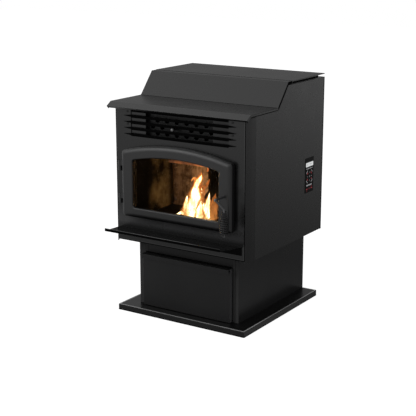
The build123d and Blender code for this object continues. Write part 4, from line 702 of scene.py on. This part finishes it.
def flat_outline(low, high, inset, corner):
    """A box's outline seen from above, moved inwards, in metres."""
    near = [(low.x + inset, low.y + inset), (high.x - inset, low.y + inset)]
    far = [(high.x - inset, high.y - inset), (low.x + inset, high.y - inset)]
    return rounded_outline([Vector(point) for point in near + far], corner)


# ---------------- door's soft edges and seals
# Outlines in mm: width, bottom, height up to the arch, and the arch's own height.
DOOR = (464.0, door_low.z / MM, 241.0, 32.0)
WINDOW = (364.0, door_low.z / MM + 36.5, 174.5, 21.0)
door_face = on_front(door_low.y)
outer, inner = arched_outline(*DOOR, 12.0), arched_outline(*inset_arch(*DOOR, 16.0), 5.0)
rim_piece("door_round_edge", outer, inner, door_face, roundover(12.0 * MM, 9), "cast_black", body="door")
outer = arched_outline(*inset_arch(*WINDOW, -4.5), 14.5)
inner = arched_outline(*inset_arch(*WINDOW, 0.06), 9.9)
bead = [(1 - share, depth) for share, depth in reversed(roundover(4.5 * MM, 5))]
rim_piece("window_round_edge", outer, inner, door_face, bead, "cast_black", body="door")
rope_course = arched_outline(*inset_arch(*WINDOW, -13.0), 23.0)
rope_place = on_front((rope_low.y + rope_high.y) / 2)
door_braid = braid_piece("door_braid", rope_course, rope_place, 4.0 * MM, 3.5 * MM, 13.0 * MM, "door")
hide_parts("door_rope")
seal_course = flat_outline(seal_low, seal_high, 5.0 * MM, 8.0 * MM)
seal_place = on_top((seal_low.z + seal_high.z) / 2)
seal_half = (seal_high.z - seal_low.z) / 2
hopper_braid = braid_piece("hopper_braid", seal_course, seal_place, 5.0 * MM, seal_half, 18.0 * MM, "cabinet")
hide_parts("hopper_seal")


# ---------------- painted shade and painted highlights on the sheet metal
def paint_lines(name, bars, place, height=0.1 * MM, paint=painted_shade_black, body="cabinet"):
    """Flat bars on the sheet metal: painted shade in its seams, creases and gaps, and painted highlights
    along its edges.
    """
    marks_piece(name, bars, place, height, "satin_black", paint, body)


def both_sides(u, v, width, height):
    """The same bar on both sides of the stove's middle."""
    return [bar(u, v, width, height), bar(-u, v, width, height)]


BODY_MIDDLE = 523.0  # mm above the floor, half way up the cabinet body
FOOT = 3.4  # mm, height of the painted contact shadow along the foot of the base
on_panel, on_pedestal = on_front(front_y), on_front(pedestal_y)
# A pale line round the base's top edge: a painted highlight.
outer, inner = (flat_outline(base_low, base_high, inset * MM, 1.0 * MM) for inset in (0.4, 5.6))
profile = [(0.0, -0.02 * MM), (0.25, -0.3 * MM), (0.75, -0.3 * MM), (1.0, -0.02 * MM)]
rim_piece("base_edge_highlight", outer, inner, on_top(base_high.z), profile, "satin_black", painted_edge_highlight)
# Lighter bars over both stiles of the pedestal: painted light.
stiles = both_sides(-203.4, 139.5, 23.5, 233.0)
# Painted shade in the pedestal's seams.
stile_seams = [bar(-175.0, 242.0, 1.2, 28.0), bar(201.0, 139.0, 1.1, 234.0)]
# Painted shade in the front panel's side seams and along the body's bottom edge, and a short dark mark on the
# panel.
seams = both_sides(270.9, BODY_MIDDLE, 3.0, 494.0)
seams += [bar(255.6, 476.0, 1.0, 14.0), bar(0.0, 277.5, 540.0, 3.0)]
# Glossier strips beside the panel's side seams and over the body's bottom edge: painted highlights.
edges = both_sides(268.2, BODY_MIDDLE, 1.9, 490.0) + [bar(0.0, 280.2, 534.0, 1.4)]
paint_lines("pedestal_stiles", stiles, on_pedestal, 0.05 * MM, stile_painted_light)
paint_lines("pedestal_seams", stile_seams, on_pedestal, 0.15 * MM)
paint_lines("panel_seams", seams, on_panel, 0.12 * MM)
paint_lines("panel_edge_highlights", edges, on_panel, paint=glossy_edge_strip)
# Painted contact shadow along the base's foot, at the front and on the right.
paint_lines("base_foot_shade_front", [bar(0.0, FOOT / 2, 550.0, FOOT)], on_front(base_low.y))
base_middle, base_depth = (base_low.y + base_high.y) / 2 / MM, (base_high.y - base_low.y) / MM
paint_lines("base_foot_shade_right", [bar(base_middle, FOOT / 2, base_depth, FOOT)], on_right(base_high.x))
side_middle, side_height = (side_low.z + side_high.z) / MM / 2, (side_high.z - side_low.z) / MM
# Painted shade in the rear seams of both side panels.
rear_seam = bar(side_high.y / MM - 5.0, side_middle, 3.2, side_height - 8.0)
paint_lines("rear_seam_right", [rear_seam], on_right(side_high.x))
paint_lines("rear_seam_left", [rear_seam[::-1]], on_left(-side_high.x))

# Painted shade in the gap above the drawer.
paint_lines("drawer_gap", [bar(0.0, drawer_top / MM + 2.3, 376.0, 3.6)], on_pedestal, 0.15 * MM)
paint_lines("lip_hem_shadow", [bar(0.0, lip_high.z / MM - 4.9, 487.0, 6.8)], on_front(lip_low.y))
HEM_RADIUS = 1.5 * MM
hem_rings = []
for x in (-243.5, -120.0, 0.0, 120.0, 243.5):
    centre = Vector((x * MM, lip_low.y + 1.3 * MM, lip_high.z - 0.9 * MM))
    hem_rings.append(oval(centre, Vector((0, HEM_RADIUS, 0)), Vector((0, 0, HEM_RADIUS)), 12))
rings_piece("lip_hem_bead", hem_rings, "satin_black")

SHELF = 786.5  # mm, height of the cover's level part
# The cover's upper line from the rear to its lip, as (behind the front panel, height) in mm.
COVER_TOP = [(275.0, 869.0), (251.0, 869.0), (180.0, SHELF), (-3.0, SHELF), (-27.0, 771.0)]
cover_line = [Vector((front_y + depth * MM, height * MM)) for depth, height in COVER_TOP]


def below_line(points, depth):
    """A line of (y, z) points moved square to itself by a depth, to its lower side."""
    steps = [(b - a).normalized() for a, b in zip(points, points[1:])]
    moved = []
    for point, into, out in zip(points, steps[:1] + steps, steps + steps[-1:]):
        square = Vector((-into.y, into.x))
        middle = (square + Vector((-out.y, out.x))).normalized()
        moved.append(point + middle * (depth / max(0.5, middle.dot(square))))
    return moved


def cover_band(name, x, top, foot, corners):
    """A band of painted shade on both sides, between two depths in mm below the cover's upper line."""
    upper, lower = (below_line(cover_line, depth * MM)[:corners] for depth in (top, foot))
    faces = [(i, i + 1, corners + i + 1, corners + i) for i in range(corners - 1)]
    for hand, side_x in (("right", x), ("left", -x)):
        vertices = [Vector((side_x * MM, point.x, point.y)) for point in upper + lower]
        mesh_piece(name + hand, vertices, faces, "satin_black", painted_shade_black, smooth=False)


# Painted shade in the crease under the cover's slanted face.
crease = bar(0.0, front_y / MM + 176.2, 584.0, 7.4)
paint_lines("cover_crease", [crease], on_top(SHELF * MM), 0.08 * MM)
LOUVRE_WIDTH, BLADE_PITCH = 409.0, 22.0
louvre_foot = blades_low.z / MM
# Black strips on the plate under each blade and under the cover's lip: painted shade.
blade_shades = [bar(0.0, louvre_foot + BLADE_PITCH * number - 1.7, LOUVRE_WIDTH, 3.6) for number in range(4)]
blade_shades.append(bar(0.0, louvre_foot + 87.6, LOUVRE_WIDTH, 7.6))
paint_lines("louvre_blade_shades", blade_shades, on_front(blades_high.y), 1.0 * MM, louvre_painted_shade)
# The exchanger's black carried on across the plate to the louvre's right end: painted shade.
shade_start, shade_end = exchanger_end / MM, 204.0
side_shade = bar((shade_start + shade_end) / 2, 715.0, shade_end - shade_start, 94.0)
paint_lines("louvre_side_shade", [side_shade], on_front(plate_y), 0.8 * MM, exchanger_black)
# Painted shade in the gap under the cover's side hems, and on the hems themselves.
cover_band("cover_gap_", 289.3, 6.5, 12.0, 5)
cover_band("cover_hem_", 293.06, 0.9, 8.4, 3)
flange_shade = bar(lid_low.y / MM + 98.5, lid_low.z / MM + 4.4, 195.0, 7.2)
paint_lines("lid_flange_shade", [flange_shade], on_right(lid_high.x), 0.06 * MM, body="lid")

# ---------------- control panel print
print_white = plastic("panel print", (0.85, 0.85, 0.87), 0.5)
print_red = plastic("panel red print", (0.62, 0.04, 0.06), 0.5)
print_dark = plastic("display segment", (0.05, 0.055, 0.06), 0.4)
KEY_Y, KEY_Z = 187.25, 500.0  # mm, centre of the round group of keys
KEY_RING = 15.5  # mm from that centre to the arrow keys
POWER_Z = 454.0
overlay_face = on_right(overlay_x - 0.02 * MM)
# Each segment of a digit by its side and its level, and the segments of each digit.
SEGMENTS = {"a": (0, 2), "b": (1, 1), "c": (1, -1), "d": (0, -2), "e": (-1, -1), "f": (-1, 1), "g": (0, 0)}
DIGITS = {"0": "abcdef", "1": "bc", "2": "abged", "4": "fgbc"}


def digit(mark, y, z, width=3.8, height=7.0, stroke=0.8):
    """One seven-segment digit on the display."""
    bars = []
    for segment in DIGITS[mark]:
        side, level = SEGMENTS[segment]
        size = (stroke, height / 2 - stroke) if side else (width, stroke)
        bars.append(bar(y + side * width / 2, z + level * height / 4, *size))
    return bars


def print_row(y, z, widths, height, gap):
    """Plain bars side by side that stand for a line of print."""
    row = []
    for width in widths:
        row.append(bar(y + width / 2, z, width, height))
        y += width + gap
    return row


display_z = (display_low.z + display_high.z) / 2 / MM
digits = []
for y, mark in zip((169.0, 177.6, 192.2, 200.8), "2104"):
    digits += digit(mark, y, display_z)
display_face = on_right(display_high.x)
marks_piece("display_digits", digits, display_face, 0.06 * MM, "display_window", print_dark)
white_marks = print_row(163.5, 530.0, (5.5, 3.0, 6.5, 4.0, 5.5, 3.5, 6.0), 3.0, 2.0)
white_marks += [sector(KEY_Y, KEY_Z, 25.6, 27.6, turn - 15, turn + 15) for turn in (45, 135, 225, 315)]
white_marks += print_row(165.0, 467.5, (4.0, 6.0, 3.0, 5.0, 4.5, 6.0, 3.5), 4.6, 1.6)
marks_piece("panel_print_white", white_marks, overlay_face, 0.12 * MM, "overlay_film", print_white)
red_marks = [sector(KEY_Y, KEY_Z, 16.5, 20.5, turn - 11, turn + 11, 4) for turn in (42, 140, -33, -144)]
red_marks += [bar(169.0, POWER_Z, 11.0, 3.4), bar(205.5, POWER_Z, 11.0, 3.4)]
red_marks += [bar(169.0, POWER_Z - 6.5, 7.0, 1.6), bar(205.5, POWER_Z + 6.5, 7.0, 1.6)]
marks_piece("panel_print_red", red_marks, overlay_face, 0.12 * MM, "overlay_film", print_red)


def arrow(y, z, turn, size=2.1):
    """A small triangle that points along an angle in degrees."""
    corners = [radians(turn + step) for step in (0, 130, 230)]
    return [Vector((y + size * cos(a), z + size * sin(a))) * MM for a in corners]


KEY_ICONS = {
    "key_up": [arrow(KEY_Y, KEY_Z + KEY_RING, 90)],
    "key_down": [arrow(KEY_Y, KEY_Z - KEY_RING, 270)],
    "key_left": [arrow(KEY_Y - KEY_RING, KEY_Z, 180)],
    "key_right": [arrow(KEY_Y + KEY_RING, KEY_Z, 0)],
    "key_ok": [sector(KEY_Y, KEY_Z, 0.01, 1.7, 0, 359, 16)],
    "key_power": [sector(KEY_Y, POWER_Z, 2.0, 2.9, 120, 420, 20), bar(KEY_Y, POWER_Z + 2.6, 0.9, 3.0)],
}
for key_name, outlines in KEY_ICONS.items():
    key_face = on_right(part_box(key_name)[1].x - 0.02 * MM)
    ink = print_red if key_name == "key_power" else print_white
    marks_piece(key_name + "_icon", outlines, key_face, 0.08 * MM, "key_cap", ink, key_name)

# ---------------- firebox fittings
burnt_bolt = steel("burnt bolt", (0.16, 0.11, 0.08), grain=(300.0, 300.0, 300.0), metallic=0.7)
wall_face = rear_wall_y - 0.1 * MM


def bolt_rings(centre, along, radius, height):
    """A hexagonal head with a washer, its rings run along a direction."""
    side = along.orthogonal().normalized()
    up = along.cross(side)
    rings = []
    for width, reach in ((1.7, 0.0), (1.7, 0.22), (1.05, 0.24), (1.0, 0.3), (1.0, 0.9), (0.86, 1.0)):
        spoke = radius * width
        rings.append(oval(centre + along * (height * reach), side * spoke, up * spoke, 6))
    return rings


for number, height in enumerate((0.512, 0.392)):
    spot = Vector((liner_low.x + 18.5 * MM, wall_face, height))
    rings = bolt_rings(spot, Vector((0, -1, 0)), 3.6 * MM, 6.0 * MM)
    rings_piece(f"liner_bolt_{number}", rings, "scorched_plate", burnt_bolt)
strip = bar(liner_low.x / MM + 9.2, 482.0, 5.0, 216.0)
marks_piece("liner_corner_strip", [strip], on_front(wall_face), 2.2 * MM, "scorched_plate")

# ---------------- camera
camera_data = bpy.data.cameras.new("camera")
camera_data.lens = 92.56
camera_data.sensor_width = 36.0
camera = add_object("camera", camera_data)
camera.location = (2.0749, -3.2468, 1.3662)
turn_to(camera, (-0.00074, -0.04809, 0.38858))
bpy.context.scene.camera = camera


# ---------------- fire
def flame_gas(name, low, high, strength, thin, dense, streak):
    """Glowing gas: colour from foot to tip, and an opacity torn by upward streaks."""
    gas = Shader(name, Roughness=1.0, specular=0.0, Emission_Strength=strength)
    rise = gas.spread(gas.axis(2), pot_high.z, pot_high.z + 0.16)
    wisps = gas.noise(1.0, roughness=0.6, place=gas.stretched(75.0, 75.0, 24.0))
    tint = gas.spread(gas.math("ADD", rise, gas.spread(wisps, 0.3, 0.7, -0.3, 0.3)), 0.0, 1.0)
    gas.paint(wisps, (0.0, 0.0, 0.0), (0.004, 0.002, 0.001))
    gas.shine(tint, low, high)
    gas.set("Alpha", gas.spread(wisps, 0.5 - streak / 2, 0.5 + streak / 2, thin, dense))
    return gas.material


FLAME_PLANE = (pot_low.y + pot_high.y) / 2
# Each tongue: its middle line as (x, z, half width) in mm on the pot's centre plane, how far
# behind that plane it stands, and how hot it is.
TONGUES = [
    ([(-14, 366, 36), (-14, 391, 34.5), (-10, 415, 27), (-0.5, 440, 24.5), (4.5, 452, 26.5),
      (4, 465, 24), (6.5, 488, 13.5), (16, 504, 15), (26, 518, 12), (29, 530, 7), (30, 542, 0.6)], 0, 1.0),
    ([(10, 496, 8), (6, 510, 7), (0, 518, 5), (-6, 516, 4), (-11, 510, 2.4), (-14, 504, 0.5)], 2, 0.5),
    ([(-38, 366, 13), (-38, 405, 11), (-37, 428, 9), (-34, 442, 5), (-31, 452, 0.6)], -6, 0.7),
    ([(-38, 380, 10), (-56, 382, 7), (-70, 377, 4.5), (-83, 373, 0.6)], -4, 0.6),
    ([(44, 366, 24), (47, 392, 21), (52, 418, 16), (58, 440, 9), (62, 458, 4.5), (64, 478, 0.6)], 4, 0.9),
    ([(74, 366, 14), (83, 398, 13), (84, 425, 13), (83, 445, 8), (86, 460, 4.5), (90, 474, 0.6)], 10, 0.35),
    ([(26, 474, 7), (37, 488, 9), (46, 493, 7), (54, 503, 5.5), (60, 513, 3.5), (65, 524, 0.5)], 3, 0.45),
    ([(10, 364, 62), (8, 378, 60), (6, 392, 50), (6, 404, 34), (6, 414, 3)], 0, 1.0),
    ([(-20, 366, 20), (-22, 400, 16), (-14, 430, 10), (-12, 452, 0.6)], 24, 0.8),
    ([(30, 366, 22), (26, 400, 18), (22, 436, 12), (30, 470, 6), (28, 492, 0.6)], 26, 0.8),
    ([(20, 366, 20), (18, 395, 15), (26, 420, 8), (24, 440, 0.6)], -24, 0.8),
    ([(40, 366, 46), (46, 400, 38), (54, 428, 24), (60, 450, 11), (64, 468, 0.6)], 24, 0.1),
    ([(-4, 366, 42), (-6, 400, 36), (4, 440, 30), (10, 480, 19), (22, 520, 12), (30, 546, 0.6)], 14, 0.1),
    ([(30, 440, 9), (36, 458, 8), (40, 474, 4), (41, 486, 0.6)], 6, 0.35),
    ([(28, 366, 30), (31, 392, 26), (35, 411, 15), (38, 424, 6), (41, 434, 0.6)], 1, 1.0),
]
# Each shell: colours of foot and tip, strength, opacity from thin to dense and how soft its
# streaks are, its share of a tongue's width and length, and the heat of the tongues that have it.
FLAME_SHELLS = {
    "edge": ((1.0, 0.34, 0.08), (0.9, 0.2, 0.04), 0.7, (0.0, 0.24, 0.4), (1.26, 1.0), (0.15, 1.0)),
    "fringe": ((1.0, 0.44, 0.11), (0.95, 0.26, 0.05), 0.95, (0.05, 0.6, 0.4), (1.06, 0.995), (0.5, 1.0)),
    "wisp": ((1.0, 0.40, 0.10), (0.9, 0.22, 0.04), 0.75, (-0.12, 0.6, 0.3), (1.02, 1.0), (0.15, 0.49)),
    "halo": ((1.0, 0.34, 0.08), (0.9, 0.2, 0.05), 0.7, (0.0, 0.3, 0.4), (1.05, 1.0), (0.0, 0.14)),
    "body": ((1.0, 0.62, 0.2), (1.0, 0.42, 0.09), 1.8, (0.05, 0.8, 0.4), (0.92, 0.985), (0.5, 1.0)),
    "core": ((1.0, 0.86, 0.5), (1.0, 0.74, 0.3), 7.0, (0.85, 1.0, 0.4), (0.74, 0.92), (0.55, 1.0)),
}
FLAME_RINGS, FLAME_SIDES = 44, 20
noise.seed_set(5)  # else the flames' swirl differs on each run


def smooth_at(points, share):
    """A point on a smooth curve through rows of numbers, at a share from 0 to 1."""
    place = share * (len(points) - 1)
    index = min(int(place), len(points) - 2)
    t = place - index
    rows = [points[max(0, min(len(points) - 1, index + step))] for step in (-1, 0, 1, 2)]
    return [
        0.5 * (2 * b + (c - a) * t + (2 * a - 5 * b + 4 * c - d) * t**2 + (3 * b - a - 3 * c + d) * t**3)
        for a, b, c, d in zip(*rows)
    ]


def tongue_rings(line, back, share, reach, seed):
    """Rings of one tongue: share scales its width and reach its length."""
    eye = camera.location
    travel = (FLAME_PLANE + back * MM - eye.y) / (FLAME_PLANE - eye.y)
    rings = []
    for step in range(FLAME_RINGS):
        at = reach * step / (FLAME_RINGS - 1)
        x, z, half = smooth_at(line, at)
        ahead = smooth_at(line, min(1.0, at + 0.02))
        behind = smooth_at(line, max(0.0, at - 0.02))
        along = Vector((ahead[0] - behind[0], 0.0, ahead[1] - behind[1])).normalized()
        across = Vector((along.z, 0.0, -along.x))
        centre = eye + (Vector((x * MM, FLAME_PLANE, z * MM)) - eye) * travel
        closing = 1.0 if reach > 0.99 else max(0.03, sqrt(1.0 - (step / (FLAME_RINGS - 1)) ** 4))
        wave = noise.noise(Vector((seed * 3.1, 0.0, z * 0.085)))
        ripple = noise.noise(Vector((seed, 9.0, z * 0.24)))
        half = max(0.5, half * share * closing * (1.0 + 0.26 * wave + 0.14 * ripple)) * MM
        ring = oval(centre, across * (0.9 * half), Vector((0.0, 0.68 * half, 0.0)), FLAME_SIDES)
        for point in ring:
            swirl = noise.noise_vector(Vector((point.x * 55, point.y * 55, point.z * 26 + seed)))
            lick = noise.noise_vector(Vector((point.x * 150, point.y * 150, point.z * 75 + seed)))
            point += swirl * min(half * 0.4, 3.2 * MM) + lick * min(half * 0.2, 1.3 * MM)
        rings.append(ring)
    return rings


def flame_layer(name, material, share, reach, coolest, hottest):
    """One shell of every tongue within a range of heat, as closed skins in one piece."""
    vertices, faces = [], []
    for number, (line, back, heat) in enumerate(TONGUES):
        if coolest <= heat <= hottest:
            faces += tube_faces(len(vertices), FLAME_RINGS, FLAME_SIDES, ends=True)
            for ring in tongue_rings(line, back, share, reach, number * 3.7):
                vertices.extend(ring)
    mesh_piece(name, vertices, faces, "ceramic_heater", material)


for shell, (low, high, strength, veil, shares, heats) in FLAME_SHELLS.items():
    gas = flame_gas("flame " + shell, low, high, strength, *veil)
    flame_layer("flame_" + shell, gas, *shares, *heats)

# The baffle's hooked end, glowing orange as painted firelight.
hook_rings = []
for x, z in ((73.0, 580.0), (79.0, 578.5), (83.0, 574.0), (84.0, 567.0), (82.0, 560.0)):
    centre = Vector((x * MM, baffle_low.y - 1.0 * MM, z * MM))
    hook_rings.append(oval(centre, Vector((3.4 * MM, 0, 0)), Vector((0, 1.2 * MM, 0)), 8))
glow = flame_gas("hook in painted firelight", (1.0, 0.30, 0.08), (0.8, 0.22, 0.06), 0.75, 0.8, 1.0, 0.5)
rings_piece("baffle_hook", hook_rings, "scorched_plate", glow)


def ember(name):
    """A wood pellet that burns: ash grey skin over glowing cracks."""
    coal = Shader(name, Roughness=0.9, specular=0.1, Emission_Strength=1.2)
    heat = coal.noise(120.0, detail=4.0, roughness=0.6)
    ash = coal.noise(420.0)
    coal.paint(ash, (0.02, 0.014, 0.01), (0.16, 0.12, 0.09))
    coal.shine(coal.spread(heat, 0.42, 0.62), (0.02, 0.003, 0.0), (1.0, 0.32, 0.04))
    coal.bump(ash, 0.6, 0.5 * MM)
    return coal.material


def pellet_bed(name, count, spread_x, spread_y, low_z, high_z, material, seed):
    """Short round sticks that lie heaped in the pot at random angles."""
    pick = random.Random(seed)
    vertices, faces = [], []
    for _ in range(count):
        angle = pick.uniform(0, tau)
        reach = sqrt(pick.random())
        x = cos(angle) * reach * spread_x
        y = FLAME_PLANE + sin(angle) * reach * spread_y
        z = low_z + (high_z - low_z) * (1 - reach**2) * pick.uniform(0.75, 1.0)
        turn, tilt = pick.uniform(0, tau), pick.uniform(-0.5, 0.5)
        along = Vector((cos(turn) * cos(tilt), sin(turn) * cos(tilt), sin(tilt)))
        side = along.cross(Vector((0, 0, 1))).normalized()
        up = side.cross(along)
        length, radius = pick.uniform(9, 17) * MM, pick.uniform(2.8, 3.3) * MM
        ends = ((-0.5, 0.7), (-0.44, 1.0), (0.44, 1.0), (0.5, 0.7))
        faces += tube_faces(len(vertices), len(ends), 8, ends=True)
        for share, width in ends:
            centre = Vector((x, y, z)) + along * share * length
            vertices += oval(centre, side * radius * width, up * radius * width, 8)
    mesh_piece(name, vertices, faces, "scorched_plate", material)


pellet_bed("embers", 90, 0.046, 0.030, pot_high.z - 0.022, pot_high.z + 0.004, ember("ember"), 11)

fire_light = bpy.data.lights.new("firelight", "POINT")
fire_light.color = (1.0, 0.57, 0.25)
fire_light.energy = 2.1
fire_light.shadow_soft_size = 0.03
fire_lamp = add_object("firelight", fire_light)
fire_lamp.location = (0.03, FLAME_PLANE + 0.01, pot_high.z + 0.13)


# ---------------- stage and light
FLOOR_WHITE = 0.92
FLOOR_REACH = 12.0
FLOOR_Z = -0.2 * MM
WHITE = (1.0, 1.0, 1.0, 1.0)


class Stage(Nodes):
    """The nodes of the floor's material or of the world, begun anew."""

    def __init__(self, owner):
        owner.use_nodes = True
        super().__init__(owner.node_tree)
        self.tree.nodes.clear()
        self.ray = self.node("LightPath").outputs

    def background(self):
        """1 for rays that look, shine or pass through to the background, else 0."""
        direct = self.math("MAXIMUM", self.ray["Is Camera Ray"], self.ray["Is Glossy Ray"])
        return self.math("MAXIMUM", direct, self.ray["Is Transmission Ray"])

    def for_the_eye(self, seen, mirrored):
        """One value for camera rays and another one for the rest."""
        return self.node("Mix", {0: self.ray["Is Camera Ray"], 2: mirrored, 3: seen}).outputs[0]

    def choose(self, factor, first, second):
        """The first shader where the factor is 0 and the second one where it is 1."""
        return self.node("MixShader", {0: factor, 1: first, 2: second}).outputs[0]


def floor_glow(stage):
    """The floor's brightness: even for the eye, and dimmer near and behind the stove in gloss."""
    place = stage.node("TexCoord").outputs["Object"]
    reach = stage.node("VectorMath", {0: place}, operation="LENGTH").outputs["Value"]
    far = stage.math("MULTIPLY", reach, 0.10)
    ahead = stage.math("MAXIMUM", stage.along((-0.15, -0.23, 0.0), place), -0.22)
    ahead = stage.math("MINIMUM", ahead, 0.22)
    right = stage.math("MAXIMUM", stage.along((0.10, -0.066, 0.0), place), 0.0)
    glow = stage.math("ADD", stage.math("ADD", far, ahead), stage.math("ADD", right, 0.30))
    return stage.for_the_eye(FLOOR_WHITE, stage.math("MINIMUM", glow, 1.2))


def studio_floor():
    """A white floor that keeps the stove's soft shadow and throws little light back up."""
    data = bpy.data.meshes.new("floor")
    corners = ((-1, -1), (1, -1), (1, 1), (-1, 1))
    places = [(x * FLOOR_REACH, y * FLOOR_REACH, FLOOR_Z) for x, y in corners]
    data.from_pydata(places, [], [(0, 1, 2, 3)])
    floor = add_object("floor", data)
    material = bpy.data.materials.new("studio floor")
    stage = Stage(material)
    matt = stage.node("BsdfDiffuse", {"Color": (0.32, 0.32, 0.32, 1.0)}).outputs[0]
    glow = stage.node("Emission", {"Strength": floor_glow(stage)}).outputs[0]
    both = stage.node("AddShader", {0: matt, 1: glow}).outputs[0]
    seen = stage.choose(stage.ray["Is Glossy Ray"], both, glow)
    stage.node("OutputMaterial", {0: stage.choose(stage.background(), matt, seen)})
    data.materials.append(material)


def studio_world(level):
    """A white room for the eye and for reflections, with plain even light at a level."""
    world = bpy.data.worlds.new("studio")
    stage = Stage(world)
    direction = stage.node("TexCoord").outputs["Generated"]
    raised = stage.math("MAXIMUM", stage.along((-0.33, -0.43, 0.78), direction), 0.0)
    room = stage.math("ADD", stage.math("MULTIPLY", raised, 1.5), 0.2)
    even = stage.node("Background", {"Color": WHITE, "Strength": level}).outputs[0]
    white = stage.node("Background", {"Color": WHITE, "Strength": stage.for_the_eye(1.0, room)}).outputs[0]
    stage.node("OutputWorld", {0: stage.choose(stage.background(), even, white)})
    bpy.context.scene.world = world


def softbox(name, place, aim_at, size, power):
    """A square area lamp that faces a point."""
    data = bpy.data.lights.new(name, "AREA")
    data.shape = "SQUARE"
    data.size = size
    data.energy = power
    lamp = add_object(name, data)
    lamp.location = place
    turn_to(lamp, aim_at)


studio_floor()
studio_world(0.45)
middle = (0.0, 0.0, 0.45)
softbox("key above", (-1.85, -2.5, 2.4), middle, 1.6, 32.0)
softbox("front fill", (-1.6, -3.2, 1.7), middle, 1.8, 16.0)
softbox("side fill", (3.2, -0.6, 2.0), middle, 1.8, 7.5)
bpy.context.scene.view_settings.view_transform = "Standard"
